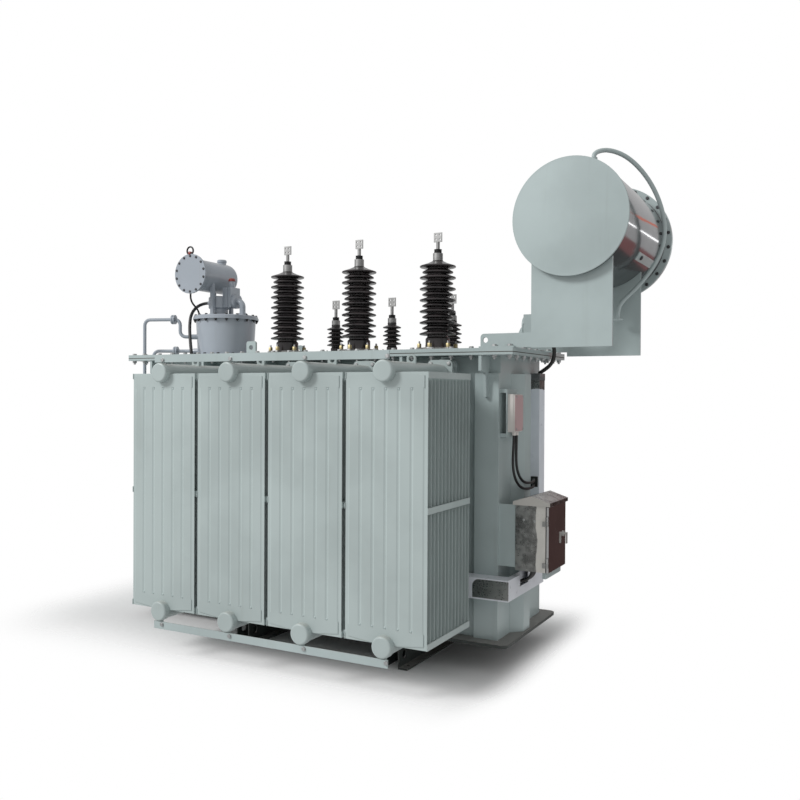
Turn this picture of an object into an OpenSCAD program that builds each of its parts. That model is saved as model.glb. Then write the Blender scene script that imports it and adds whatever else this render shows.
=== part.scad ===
// Oil-filled power transformer with panel radiators, tap changer and conservator.
// Millimetres, +Z up. The origin is on the ground, midway between the skids.
// The front, with the HV bushings, faces -Y, and the conservator end is +X.

/* [Underbase] */
// Height of the skid channels
skid_h = 160; // [120:5:220]
// Distance between the centres of the two skids
skid_spacing = 1160; // [1000:10:1400]
// Width of a skid over its channels' toes
skid_pair_w = 220; // [200:5:300]
// Length of a skid, front to back
skid_l = 1380; // [1200:10:1600]
// Width of a channel's flanges
channel_w = 66; // [55:1:80]
// Thickness of a channel's web
channel_web_t = 9; // [6:0.5:14]
// Thickness of a channel's flanges
channel_flange_t = 12; // [8:0.5:16]
// Diameter of the pulling hole in each web
pull_hole_d = 50; // [30:1:70]
// Distance of a pulling hole from the skid's end
pull_hole_edge = 70; // [55:5:120]
// Diameter of the anchor holes in the feet
anchor_hole_d = 22; // [18:1:30]
// Front-to-back distance between the anchor holes
anchor_spacing_y = 1240; // [1000:10:1300]
// Distance of an anchor hole from the channel's toe
anchor_edge = 30; // [24:1:36]
// Thickness of the base plate
base_t = 20; // [12:1:30]
// Reach of the base plate beyond the end walls
base_margin_x = 90; // [75:5:120]
// Reach of the base plate beyond the front and rear walls
base_margin_y = 118; // [90:1:140]
// Corner radius of the base plate
base_corner_r = 45; // [20:5:60]

/* [Tank] */
// Distance from the origin to the left end wall
tank_left = 1680; // [1600:10:2000]
// Distance from the origin to the right end wall
tank_right = 1167; // [1120:1:1250]
// Width of the tank, front to back
tank_w = 740; // [720:5:780]
// Height of the tank walls
tank_h = 1769; // [1700:1:1900]
// Thickness of the tank walls
wall_t = 10; // [6:1:14]
// Width of a side rib
rib_w = 160; // [120:5:200]
// Depth of a side rib
rib_d = 30; // [20:1:40]
// Distance from a side rib's top to the flange
rib_drop = 109; // [90:1:150]
// Width of an end rib's flat face
end_rib_w = 114; // [90:2:140]
// Depth of an end rib
end_rib_d = 70; // [50:1:80]
// Place of the end ribs, front to back
end_rib_y = -60; // [-90:5:0]
// Thickness of the tank flange
flange_t = 18; // [12:1:24]
// Reach of the flange beyond the front and rear walls
flange_out_y = 148; // [130:1:165]
// Reach of the flange beyond the left wall
flange_out_left = 145; // [60:1:160]
// Reach of the flange beyond the right wall
flange_out_right = 134; // [120:1:160]
// Thickness of the cover plate
cover_t = 25; // [10:1:30]
// Thickness of the flange gussets
gusset_t = 20; // [10:1:24]
// Height of the flange gussets
gusset_h = 258; // [200:2:320]
// Height of a gusset's outer edge
gusset_edge_h = 96; // [60:1:130]
// Distance of a gusset's outer edge from the flange's edge
gusset_inset = 6; // [2:1:30]
// Width of a gusset's lower end
gusset_tail = 30; // [20:1:80]

/* [Lifting lugs] */
// Thickness of a lug
lug_t = 16; // [12:1:24]
// Width of a lug
lug_w = 84; // [70:2:110]
// Height of a lug
lug_h = 96; // [80:1:110]
// Corner radius of a lug
lug_r = 16; // [8:1:24]
// Diameter of a lug's hole
lug_hole_d = 36; // [24:1:40]
// Height of the hole above the cover
lug_hole_z = 50; // [44:1:56]
// Distance of the lugs from the tank's middle plane
lug_y = 300; // [260:1:340]
// Place of the lugs along the tank
lug_x = -815; // [-900:5:-760]

/* [Radiators] */
// Width of a radiator panel
rad_w = 520; // [480:5:530]
// Distance between neighbouring radiators
rad_pitch = 546; // [540:1:570]
// Place of the middle of a row along the tank
rad_row_x = -6; // [-30:1:30]
// Distance from the tank flange down to the panels' upper edge
rad_drop = 118; // [100:1:160]
// Height of a panel's lower edge above the ground
rad_z = 311; // [290:1:330]
// Distance from the tank's middle plane to the outermost panel
rad_out = 1205; // [1150:5:1260]
// Clear length of the headers between the panels and their flanges
neck_l = 110; // [90:1:140]
// Distance between neighbouring panels
panel_pitch = 47; // [40:0.5:48]
// Thickness of a panel over its flutes
panel_t = 12; // [8:0.5:16]
// Thickness of a panel's welded seam
seam_t = 3; // [2:0.5:4]
// Width of the flat seam at a panel's sides
seam_w = 16; // [10:1:24]
// Number of flutes across a panel
flute_n = 6; // [4:1:8]
// Width of the groove between two flutes
groove_w = 8; // [4:1:16]
// Width of a flute's sloping side
flute_slope = 7; // [4:0.5:10]
// Height of the pressed pocket at a panel's ends
pocket_h = 88; // [36:1:110]
// Height of a pocket's side above the panel's edge
pocket_side = 20; // [14:1:28]
// Outer diameter of a header pipe
header_d = 114; // [89:1:127]
// Height of the upper header's axis above the panels, and drop of the lower one
header_rise = 6; // [0:1:12]
// Diameter of a header's end cap
cap_d = 125; // [118:1:140]
// Reach of an end cap in front of the panels
cap_out = 45; // [30:1:60]
// Radius of an end cap's rim
cap_round = 12; // [6:1:16]
// Weld gap between pieces that are welded edge to edge
weld_gap = 0.3; // [0.3:0.1:0.8]
// Height of the side bands
band_h = 36; // [24:1:50]
// Thickness of the side bands
band_t = 4; // [3:0.5:6]
// Width of the square pipe flanges
pipe_flange_w = 170; // [150:1:190]
// Corner radius of the pipe flanges
pipe_flange_r = 30; // [15:1:40]
// Thickness of the pipe flanges
pipe_flange_t = 16; // [12:1:22]
// Length of a valve between its flanges
valve_l = 50; // [40:1:60]
// Diameter of a valve's body
valve_d = 148; // [130:1:150]
// Length of the stub pipe on the tank wall
stub_l = 54; // [40:1:70]

// Width of a radiator's lifting eye
eye_w = 60; // [50:1:80]
// Height of a lifting eye's hole above the header's axis
eye_z = 78; // [75:1:90]
// Diameter of a lifting eye's hole
eye_hole_d = 34; // [20:1:36]
// Thickness of a lifting eye
eye_t = 12; // [8:1:16]

/* [Tie bars] */
// Height of a tie bar
tie_h = 47; // [30:1:60]
// Thickness of a tie bar
tie_t = 8; // [5:0.5:12]
// Clear height between an end cap and its tie bar
tie_gap = 2; // [1:0.5:6]
// Reach of a tie bar beyond the outer lugs
tie_over = 14; // [5:1:40]
// Width of the lug that carries a tie bar
tie_lug_w = 50; // [40:1:70]
// Thickness of the lug that carries a tie bar
tie_lug_t = 10; // [6:1:14]
// Distance from a tie bar's face to the end cap's face
tie_set_back = 10; // [5:1:20]

/* [HV bushings] */
// Place of the middle HV bushing along the tank
hv_x = 45; // [20:1:70]
// Distance between HV bushings
hv_pitch = 608; // [560:1:640]
// Place of the HV bushings, front to back
hv_y = -205; // [-240:1:-180]
// Diameter of the porcelain foot
hv_foot_d = 160; // [140:1:180]
// Height of the porcelain foot
hv_foot_h = 102; // [80:1:120]
// Number of large sheds
hv_shed_n = 7; // [5:1:8]
// Diameter of a large shed
hv_shed_d = 242; // [220:1:260]
// Diameter of a small shed
hv_small_shed_d = 207; // [180:1:215]
// Diameter of the porcelain core
hv_core_d = 138; // [120:1:150]
// Distance from a shed to the next
hv_shed_pitch = 37.3; // [30:0.1:42]
// Height of the porcelain cone above the sheds
hv_cone_h = 19; // [10:1:60]
// Diameter of the porcelain at its upper end
hv_neck_d = 56; // [50:1:60]
// Diameter of the metal cap
hv_cap_d = 66; // [56:1:80]
// Height of the metal cap
hv_cap_h = 48; // [30:1:60]
// Width across the corners of the stem nut
hv_nut_d = 46; // [40:1:54]
// Height of the stem nut
hv_nut_h = 26; // [18:1:34]
// Diameter of the stem
hv_stem_d = 24; // [18:1:30]
// Length of the stem above the nut
hv_stem_l = 51; // [40:1:70]
// Width of the flag terminal
hv_flag_w = 58; // [50:1:80]
// Height of the flag terminal
hv_flag_h = 61; // [50:1:80]
// Thickness of the flag terminal
hv_flag_t = 9; // [6:0.5:14]
// Distance between the flag's holes
hv_flag_hole_pitch = 30; // [24:1:34]
// Diameter of the flag's holes
hv_flag_hole_d = 12; // [9:0.5:14]
// Outer diameter of the clamp ring
hv_ring_d = 222; // [205:1:236]
// Height of the clamp ring
hv_ring_h = 24; // [16:1:36]

/* [LV bushings] */
// Distance between LV bushings
lv_pitch = 495; // [450:1:540]
// Place of the LV bushings, front to back
lv_y = 280; // [250:1:310]
// Diameter of the porcelain foot
lv_foot_d = 80; // [72:1:90]
// Height of the porcelain foot
lv_foot_h = 78; // [50:1:80]
// Number of large sheds
lv_shed_n = 3; // [2:1:5]
// Diameter of a large shed
lv_shed_d = 138; // [110:1:150]
// Diameter of a small shed
lv_small_shed_d = 119; // [95:1:128]
// Diameter of the porcelain core
lv_core_d = 66; // [54:1:70]
// Distance from a shed to the next
lv_shed_pitch = 30.5; // [22:0.1:34]
// Height of the porcelain cone above the sheds
lv_cone_h = 18; // [10:1:36]
// Diameter of the porcelain at its upper end
lv_neck_d = 48; // [40:1:54]
// Diameter of the metal cap
lv_cap_d = 64; // [50:1:72]
// Height of the metal cap
lv_cap_h = 34; // [16:1:40]
// Width across the corners of the stem nut
lv_nut_d = 46; // [36:1:50]
// Height of the stem nut
lv_nut_h = 24; // [14:1:30]
// Diameter of the stem
lv_stem_d = 24; // [14:1:26]
// Length of the stem above the nut
lv_stem_l = 65; // [56:1:110]
// Width of the flag terminal
lv_flag_w = 60; // [50:1:70]
// Height of the flag terminal
lv_flag_h = 65; // [56:1:80]
// Thickness of the flag terminal
lv_flag_t = 9; // [6:0.5:14]
// Distance between the flag's holes
lv_flag_hole_pitch = 30; // [24:1:34]
// Diameter of the flag's holes
lv_flag_hole_d = 12; // [9:0.5:14]
// Outer diameter of the clamp ring
lv_ring_d = 120; // [108:1:135]
// Height of the clamp ring
lv_ring_h = 18; // [12:1:26]
// Clearance between a porcelain foot and its clamp ring
ring_clearance = 0.3; // [0.3:0.1:2]

/* [Tap changer] */
// Place of the tap changer along the tank
tap_x = -1301; // [-1340:1:-1270]
// Diameter of the drum
tap_drum_d = 465; // [420:1:480]
// Height of the drum
tap_drum_h = 288; // [240:1:300]
// Slope of the drum's side, foot to head
tap_drum_taper = 14; // [0:1:20]
// Diameter of the drum's foot ring
tap_foot_d = 540; // [500:1:560]
// Thickness of the drum's foot ring
tap_foot_t = 16; // [10:1:22]
// Diameter of the drum's head flange
tap_head_d = 510; // [490:1:540]
// Thickness of the head flange, and of the head cover on it
tap_head_t = 16; // [12:1:22]
// Diameter of the gear head
tap_gear_d = 165; // [140:1:176]
// Height of the gear head
tap_gear_h = 92; // [80:1:110]
// Height of the neck under the gear head
tap_neck_h = 60; // [45:1:70]
// Outer diameter of the small conservator
tap_tank_d = 240; // [210:1:260]
// Length of the small conservator's barrel
tap_tank_l = 390; // [360:1:440]
// Wall of the small conservator
tap_tank_wall = 4; // [3:0.5:6]
// Depth of its dished rear end
tap_tank_dish = 55; // [40:1:80]
// Place of its axis along the tank
tap_tank_x = -1391; // [-1410:1:-1380]
// Height of its axis above the cover
tap_tank_z = 626; // [600:1:650]
// Front of its barrel, measured from the tank's middle plane
tap_tank_front = 305; // [290:1:330]
// Diameter of its bolted front cover
tap_cover_d = 302; // [290:1:345]
// Thickness of its bolted front cover
tap_cover_t = 14; // [8:1:20]
// Width of a conservator leg
tap_leg_w = 26; // [20:1:34]
// Diameter of the oil pipes
tap_pipe_d = 27; // [21:1:34]
// Distance of the oil risers from the tank's left wall
tap_riser_out = 235; // [200:1:260]

/* [Conservator] */
// Place of the conservator's axis along the tank
cons_x = 1643; // [1620:1:1700]
// Height of its axis above the cover
cons_z = 752; // [720:1:780]
// Outer diameter of the barrel
cons_d = 680; // [620:2:700]
// Length of the barrel
cons_l = 1050; // [960:1:1100]
// Wall of the barrel
cons_wall = 5; // [3:0.5:8]
// Front of the barrel, measured from the tank's middle plane
cons_front = 511; // [495:1:540]
// Diameter of the plain front end
cons_end_d = 694; // [685:1:720]
// Thickness of the plain front end
cons_end_t = 14; // [8:1:20]
// Height of the shallow cone pressed into the front end
cons_cone = 25; // [10:1:40]
// Diameter of the rear flange and its cover
cons_flange_d = 770; // [740:1:780]
// Thickness of the rear flange, and of its cover
cons_flange_t = 18; // [12:1:24]
// Width of a saddle bracket
saddle_w = 486; // [440:2:520]
// Thickness of a saddle bracket
saddle_t = 12; // [8:1:16]
// Drop of the front bracket below the cover's top
saddle_drop = 4; // [2:1:60]
// Drop of the rear bracket below the cover's top
saddle_rear_drop = 28; // [2:1:60]
// Distance of the front bracket from the tank's middle plane
saddle_front = 470; // [455:1:480]
// Distance of the rear bracket from the tank's middle plane
saddle_rear = 255; // [180:1:300]
// Left end of the bracket arms
arm_x = 1075; // [1050:1:1110]
// Height of the bracket arms
arm_h = 88; // [60:1:100]
// Corner radius of the arms
arm_r = 22; // [10:1:30]
// Width of the arms' foot plates
arm_foot_w = 70; // [60:1:90]
// Thickness of the arms' foot plates
arm_foot_t = 10; // [8:1:14]
// Distance of the hole from the arm's left end
arm_hole_in = 32; // [28:1:50]
// Diameter of the hole in an arm
arm_hole_d = 34; // [20:1:38]
// Clearance between the barrel and its saddles
saddle_clearance = 0.3; // [0.3:0.1:2]
// Diameter of the breather pipe
breather_d = 27; // [21:1:34]
// Diameter of the gas relay's pipe
relay_pipe_d = 60; // [48:1:70]
// Size of the gas relay's housing
relay_box = 116; // [100:1:130]

/* [Control cabinet] */
// Depth of the cabinet with its door
cab_d = 212; // [170:1:240]
// Width of the cabinet
cab_w = 340; // [310:1:440]
// Height of the cabinet
cab_h = 402; // [360:1:440]
// Height of its underside above the ground
cab_z = 629; // [600:1:660]
// Distance from the right end wall to the cabinet's back
cab_out = 110; // [100:1:130]
// Place of its front side, measured from the tank's middle plane
cab_front = 390; // [380:1:395]
// Sheet thickness of the cabinet
cab_sheet = 3; // [2:0.5:5]
// Width of the rim around the doorway
cab_rim = 18; // [10:1:26]
// Thickness of the door
door_t = 14; // [10:1:20]
// Clearance of the door from the cabinet
door_clearance = 5; // [5:0.5:8]
// Overhang of the roof
roof_over = 12; // [8:1:20]
// Height of the roof's eaves
eave_h = 22; // [16:1:30]
// Rise of the roof from its eaves to the ridge
ridge_rise = 38; // [25:1:60]
// Diameter of the hinge pins
hinge_pin_d = 8; // [6:0.5:12]
// Diameter of the hinge knuckles
hinge_d = 15; // [13:0.5:20]
// Length of a hinge knuckle
knuckle_l = 30; // [20:1:45]
// Running clearance of a hinge pin, all round
hinge_clearance = 0.05; // [0.02:0.01:0.1]
// Side clearance between the door's edge and the hinge blocks
door_side_gap = 2; // [1:0.5:4]
// Distance of the hinges from the door's ends
hinge_inset = 60; // [45:1:90]
// Thickness of the bracket plates that carry the cabinet
cab_bracket_t = 6; // [4:1:10]

/* [Wiring] */
// Width of the vertical trunking
trunk_w = 108; // [80:1:120]
// Depth of the vertical trunking
trunk_d = 66; // [40:1:80]
// Distance from the tank flange down to the trunking's upper end
trunk_drop = 104; // [80:1:140]
// Length of the vertical trunking
trunk_l = 845; // [760:1:860]
// Front side of the vertical trunking
trunk_y = 181; // [160:1:220]
// Sheet thickness of trunking and tray
tray_sheet = 3; // [2:0.5:4]
// Height of the lower tray
tray_h = 130; // [100:1:150]
// Height of the lower tray's underside above the ground
tray_z = 453; // [430:1:470]
// Depth of the tray's run along the front
tray_front_d = 108; // [80:1:120]
// Depth of the tray's run along the end
tray_end_d = 40; // [35:1:60]
// Left end of the tray's run along the front
tray_left = 960; // [920:1:1000]
// Rear end of the tray's run along the end
tray_rear = 155; // [120:1:180]
// Width of the terminal box
term_w = 145; // [120:1:160]
// Height of the terminal box
term_h = 236; // [170:1:250]
// Depth of the terminal box
term_d = 44; // [36:1:60]
// Distance from the tank flange down to the terminal box
term_drop = 239; // [200:1:280]
// Front side of the terminal box
term_y = -355; // [-365:1:-330]
// Distance from the end wall to the box's back plate
term_out = 38; // [25:1:50]
// Thickness of the box's back plate
term_plate_t = 6; // [4:1:10]
// Diameter of the control cables
cable_d = 17; // [12:0.5:20]

/* [Hidden] */

$fn = 64;
eps = 1;
rad_n = 4;
rear_n = 3;
bush_n = 3;

// Heights
base_z = skid_h;
tank_z = base_z + base_t;
flange_z = tank_z + tank_h;
cover_z = flange_z + flange_t;
top_z = cover_z + cover_t;
rad_h = flange_z - rad_drop - rad_z;
header_top_z = rad_z + rad_h + header_rise;
header_low_z = rad_z - header_rise;

// Places across the tank
wall_y = tank_w / 2;
rib_face_y = wall_y + rib_d;
flange_y = wall_y + flange_out_y;
valve_end_y = wall_y + stub_l + pipe_flange_t + valve_l;
panel_room = rad_out - panel_t - valve_end_y - pipe_flange_t - neck_l;
panel_n = 1 + floor(panel_room / panel_pitch);
panel_depth = (panel_n - 1) * panel_pitch + panel_t;
end_rib_x = tank_right + end_rib_d;
cab_x = tank_right + cab_out;
door_x = cab_x + cab_d - door_t;
shell_d = cab_d - door_t - door_clearance;
hinge_x = door_x + door_t / 2;
hinge_y = -cab_front - hinge_d / 2 - eps;
tap_head_z = top_z + tap_drum_h + 2 * tap_head_t;
tap_axis_z = top_z + tap_tank_z;
cons_axis_z = top_z + cons_z;
tray_face_y = rib_face_y + tray_front_d;
tray_face_x = end_rib_x + tray_end_d;
trunk_z = flange_z - trunk_drop - trunk_l;
term_z = flange_z - term_drop - term_h;

paint = [0.66, 0.71, 0.70];
tap_paint = [0.60, 0.64, 0.68];
dark_paint = [0.10, 0.12, 0.12];
porcelain = [0.08, 0.05, 0.05];
tin = [0.72, 0.73, 0.74];
steel = [0.62, 0.62, 0.60];
black = [0.04, 0.04, 0.04];

function header_x(i) = rad_row_x + (i - (rad_n - 1) / 2) * rad_pitch;
function hv_place(i) = [hv_x + (i - 1) * hv_pitch, hv_y, top_z];
function lv_place(i) = [hv_x + (i - 1) * lv_pitch, lv_y, top_z];

// Cylinder along Y, from y0 over a length l
module bar_y(y0, l, d) {
  translate([0, y0, 0])
    rotate([-90, 0, 0])
      cylinder(h = l, d = d);
}

// Cylinder along X, from x0 over a length l
module bar_x(x0, l, d) {
  translate([x0, 0, 0])
    rotate([0, 90, 0])
      cylinder(h = l, d = d);
}

// Plate standing across Y, cut to an outline of X and Z
module plate_xz(y0, t) {
  translate([0, y0 + t, 0])
    rotate([90, 0, 0])
      linear_extrude(t)
        children();
}

// Plate standing across X, cut to an outline of Y and Z
module plate_yz(x0, t) {
  translate([x0, 0, 0])
    rotate([90, 0, 90])
      linear_extrude(t)
        children();
}

// Flat rectangle with round corners, given by its low and high corners
module round_rect(low, high, r) {
  for (x = [low[0] + r, high[0] - r], y = [low[1] + r, high[1] - r])
    translate([x, y])
      circle(r);
  translate([low[0] + r, low[1]])
    square([high[0] - low[0] - 2 * r, high[1] - low[1]]);
  translate([low[0], low[1] + r])
    square([high[0] - low[0], high[1] - low[1] - 2 * r]);
}

// A unit vector
function unit(v) = v / norm(v);

// Points of the arc that rounds the corner b of the line a, b, c
function corner_arc(a, b, c, r, steps) =
  let (u = unit(a - b), v = unit(c - b), turn = acos(u * v))
  let (centre = b + unit(u + v) * r / sin(turn / 2), reach = r / tan(turn / 2))
  let (s = b + u * reach - centre, e = b + v * reach - centre, sweep = 180 - turn)
  [for (k = [0:steps]) centre + (s * sin((1 - k / steps) * sweep) + e * sin(k / steps * sweep)) / sin(sweep)];

// A line of points with each inner corner rounded
function rounded_route(p, r, steps = 5) = concat(
  [p[0]],
  [for (i = [1:len(p) - 2]) each corner_arc(p[i - 1], p[i], p[i + 1], r, steps)],
  [p[len(p) - 1]]
);

// A line of points with a point set midway on the curve through each four neighbours
function eased(p) = let (n = len(p)) concat(
  [for (i = [0:n - 2]) each [p[i], i == 0 || i == n - 2 ? (p[i] + p[i + 1]) / 2
    : (9 * (p[i] + p[i + 1]) - p[i - 1] - p[i + 2]) / 16]],
  [p[n - 1]]
);

// Side vectors carried along a line without twist
function carried(t, side, i = 0) =
  i == len(t) ? [] : let (m = unit(side - (side * t[i]) * t[i])) concat([m], carried(t, m, i + 1));

// Round tube along a line of points
module tube(p, d, sides = 12) {
  n = len(p);
  t = [for (i = [0:n - 1]) unit(p[min(i + 1, n - 1)] - p[max(i - 1, 0)])];
  side = carried(t, abs(t[0][2]) < 0.9 ? cross(t[0], [0, 0, 1]) : cross(t[0], [1, 0, 0]));
  ring = [for (i = [0:n - 1], k = [0:sides - 1])
    p[i] + d / 2 * (cos(k * 360 / sides) * side[i] + sin(k * 360 / sides) * cross(t[i], side[i]))];
  wall = [for (i = [0:n - 2], k = [0:sides - 1])
    [i * sides + k, (i + 1) * sides + k, (i + 1) * sides + (k + 1) % sides, i * sides + (k + 1) % sides]];
  first = [for (k = [0:sides - 1]) k];
  last = [for (k = [sides - 1:-1:0]) (n - 1) * sides + k];
  polyhedron(ring, concat([first], wall, [last]));
}

// Skids: two channels back to back, joined by spacers between their webs
module channel(toe) {
  difference() {
    translate([toe < 0 ? -skid_pair_w / 2 : skid_pair_w / 2 - channel_w, -skid_l / 2, 0])
      cube([channel_w, skid_l, skid_h]);
    translate([toe < 0 ? -skid_pair_w / 2 - eps : skid_pair_w / 2 - channel_w + channel_web_t,
               -skid_l / 2 - eps, channel_flange_t])
      cube([channel_w - channel_web_t + eps, skid_l + 2 * eps, skid_h - 2 * channel_flange_t]);
    for (y = [-1, 1])
      translate([0, y * (skid_l / 2 - pull_hole_edge), skid_h / 2])
        bar_x(-skid_pair_w, 2 * skid_pair_w, pull_hole_d);
    for (y = [-1, 1])
      translate([toe * (skid_pair_w / 2 - anchor_edge), y * anchor_spacing_y / 2, -eps])
        cylinder(h = channel_flange_t + 2 * eps, d = anchor_hole_d);
  }
}

module skid(side) {
  gap = skid_pair_w - 2 * channel_w;
  color(dark_paint)
    translate([side * skid_spacing / 2, 0, 0]) {
      channel(-1);
      channel(1);
      for (y = [-1, 0, 1])
        translate([-gap / 2 - eps, y * skid_l / 4 - channel_web_t / 2, channel_flange_t])
          cube([gap + 2 * eps, channel_web_t, skid_h - 2 * channel_flange_t]);
    }
}

module skid_left() { skid(-1); }
module skid_right() { skid(1); }

module base_plate() {
  color(dark_paint)
    translate([0, 0, base_z])
      linear_extrude(base_t)
        round_rect([-tank_left - base_margin_x, -wall_y - base_margin_y],
                   [tank_right + base_margin_x, wall_y + base_margin_y], base_corner_r);
}

// Tank: four welded walls, open at the top, where the flange and cover close it
module tank_shell() {
  length = tank_left + tank_right;
  inner = tank_w - 2 * wall_t;
  color(paint)
    translate([-tank_left, 0, tank_z]) {
      for (y = [-wall_y, wall_y - wall_t])
        translate([0, y, 0])
          cube([length, wall_t, tank_h]);
      for (x = [0, length - wall_t])
        translate([x, -inner / 2 + weld_gap, 0])
          cube([wall_t, inner - 2 * weld_gap, tank_h]);
    }
}

function rib_xs() = concat(
  [-tank_left + rib_w / 2],
  [for (i = [-1:rad_n - 2]) header_x(i) + rad_pitch / 2],
  [tank_right - rib_w / 2]
);

// Ribs: box ribs on the long walls, and a folded rib with sloping sides on each end wall
module tank_ribs() {
  rib_h = tank_h - rib_drop;
  end_half = end_rib_w / 2;
  color(paint)
    translate([0, 0, tank_z]) {
      for (x = rib_xs(), y = [-rib_face_y, wall_y])
        translate([x - rib_w / 2, y, 0])
          cube([rib_w, rib_d, rib_h]);
      for (side = [1, -1])
        translate([side > 0 ? tank_right : -tank_left, side * end_rib_y, 0])
          linear_extrude(rib_h)
            polygon([[0, -end_half - end_rib_d], [side * end_rib_d, -end_half],
                     [side * end_rib_d, end_half], [0, end_half + end_rib_d]]);
    }
}

module flange_outline() {
  translate([-tank_left - flange_out_left, -flange_y])
    square([tank_left + tank_right + flange_out_left + flange_out_right, 2 * flange_y]);
}

// Flange: four flat bars, the end bars set between the long ones
module tank_flange() {
  left = tank_left + flange_out_left;
  inner_y = wall_y - wall_t;
  color(paint)
    translate([0, 0, flange_z]) {
      for (y = [-flange_y, inner_y])
        translate([-left, y, 0])
          cube([left + tank_right + flange_out_right, flange_y - inner_y, flange_t]);
      translate([-left, -inner_y + weld_gap, 0])
        cube([flange_out_left + wall_t, 2 * inner_y - 2 * weld_gap, flange_t]);
      translate([tank_right - wall_t, -inner_y + weld_gap, 0])
        cube([flange_out_right + wall_t, 2 * inner_y - 2 * weld_gap, flange_t]);
    }
}

module cover_plate() {
  color(paint)
    translate([0, 0, cover_z])
      linear_extrude(cover_t)
        flange_outline();
}

// Gussets: tapered plates under the flange, notched over the tops of the ribs
module flange_gussets() {
  reach = flange_y - gusset_inset;
  color(paint)
    for (x = rib_xs(), side = [0, 1])
      mirror([0, side, 0])
        plate_yz(x - gusset_t / 2, gusset_t)
          polygon([[-wall_y, flange_z], [-reach, flange_z], [-reach, flange_z - gusset_edge_h],
                   [-rib_face_y - 1.5 * gusset_tail, flange_z - gusset_edge_h - gusset_tail / 2],
                   [-rib_face_y - gusset_tail, flange_z - gusset_h], [-rib_face_y, flange_z - gusset_h],
                   [-rib_face_y, flange_z - rib_drop],
                   [-wall_y, flange_z - rib_drop]]);
}

// Lifting lugs: plates with an eye, welded to the cover
module lifting_lugs() {
  color(paint)
    for (side = [-1, 1])
      translate([lug_x, side * lug_y, top_z])
        difference() {
          plate_xz(-lug_t / 2, lug_t) {
            round_rect([-lug_w / 2, 0], [lug_w / 2, lug_h], lug_r);
            translate([-lug_w / 2, 0])
              square([lug_w, lug_h / 2]);
          }
          translate([0, 0, lug_hole_z])
            bar_y(-lug_t, 2 * lug_t, lug_hole_d);
        }
}

// Radiator panel: two pressed sheets, welded at the seams, with upright flutes
module panel_section() {
  pitch = (rad_w - 2 * seam_w) / flute_n;
  half = rad_w / 2;
  upper = concat(
    [[-half, seam_t / 2]],
    [for (i = [0:flute_n - 1]) let (x = -half + seam_w + i * pitch) each [
      [x + groove_w / 2, seam_t / 2],
      [x + groove_w / 2 + flute_slope, panel_t / 2],
      [x + pitch - groove_w / 2 - flute_slope, panel_t / 2],
      [x + pitch - groove_w / 2, seam_t / 2]
    ]],
    [[half, seam_t / 2]]
  );
  polygon(concat(upper, [for (i = [len(upper) - 1:-1:0]) [upper[i][0], -upper[i][1]]]));
}

// The pocket at a panel's end leads the flutes to the header with sloping edges
module panel_pocket() {
  half = rad_w / 2 - seam_w - groove_w / 2;
  plate_xz(-panel_t / 2, panel_t)
    polygon([[-half, pocket_h], [half, pocket_h], [half, pocket_side], [header_d / 2, 0],
             [-header_d / 2, 0], [-half, pocket_side]]);
}

// Round seats in a panel's ends, where the headers are welded in
module header_seats() {
  for (z = [-header_rise, rad_h + header_rise])
    translate([0, 0, z])
      bar_y(-panel_t, 2 * panel_t, header_d + 2 * weld_gap);
}

module outer_panel() {
  difference() {
    union() {
      translate([-rad_w / 2, -seam_t / 2, 0])
        cube([rad_w, seam_t, rad_h]);
      translate([0, 0, pocket_h - eps])
        linear_extrude(rad_h - 2 * pocket_h + 2 * eps)
          panel_section();
      panel_pocket();
      translate([0, 0, rad_h])
        mirror([0, 0, 1])
          panel_pocket();
    }
    header_seats();
  }
}

module inner_panel() {
  difference() {
    linear_extrude(rad_h)
      panel_section();
    header_seats();
  }
}

// Outline of an end cap with a rounded rim, for turning about its axis
module cap_profile() {
  r = cap_d / 2;
  polygon(concat(
    [[0, 0], [r, 0]],
    [for (a = [0:18:90]) [r - cap_round + cap_round * cos(a), cap_out - cap_round + cap_round * sin(a)]],
    [[0, cap_out]]
  ));
}

// Square flange with round corners, around a pipe along Y
module pipe_flange(y0) {
  plate_xz(y0, pipe_flange_t)
    round_rect([-pipe_flange_w / 2, -pipe_flange_w / 2], [pipe_flange_w / 2, pipe_flange_w / 2], pipe_flange_r);
}

// Lifting eye that stands on a radiator's upper header
module lifting_eye() {
  difference() {
    plate_xz(-eye_t / 2, eye_t) {
      translate([0, eye_z])
        circle(d = eye_w);
      translate([-eye_w / 2, 0])
        square([eye_w, eye_z]);
    }
    translate([0, 0, eye_z])
      bar_y(-eye_t, 2 * eye_t, eye_hole_d);
  }
}

module header_pipe() {
  bar_y(-rad_out - weld_gap, rad_out + weld_gap - valve_end_y, header_d);
  pipe_flange(-valve_end_y - pipe_flange_t);
  translate([0, -rad_out - weld_gap, 0])
    rotate([90, 0, 0])
      rotate_extrude()
        cap_profile();
}

// Lug above a header's end cap, which the tie bar is bolted to
module tie_lug() {
  y = -rad_out - cap_out + tie_set_back + tie_t;
  translate([-tie_lug_w / 2, y, 0])
    cube([tie_lug_w, tie_lug_t, cap_d / 2 + tie_gap + tie_h]);
}

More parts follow.
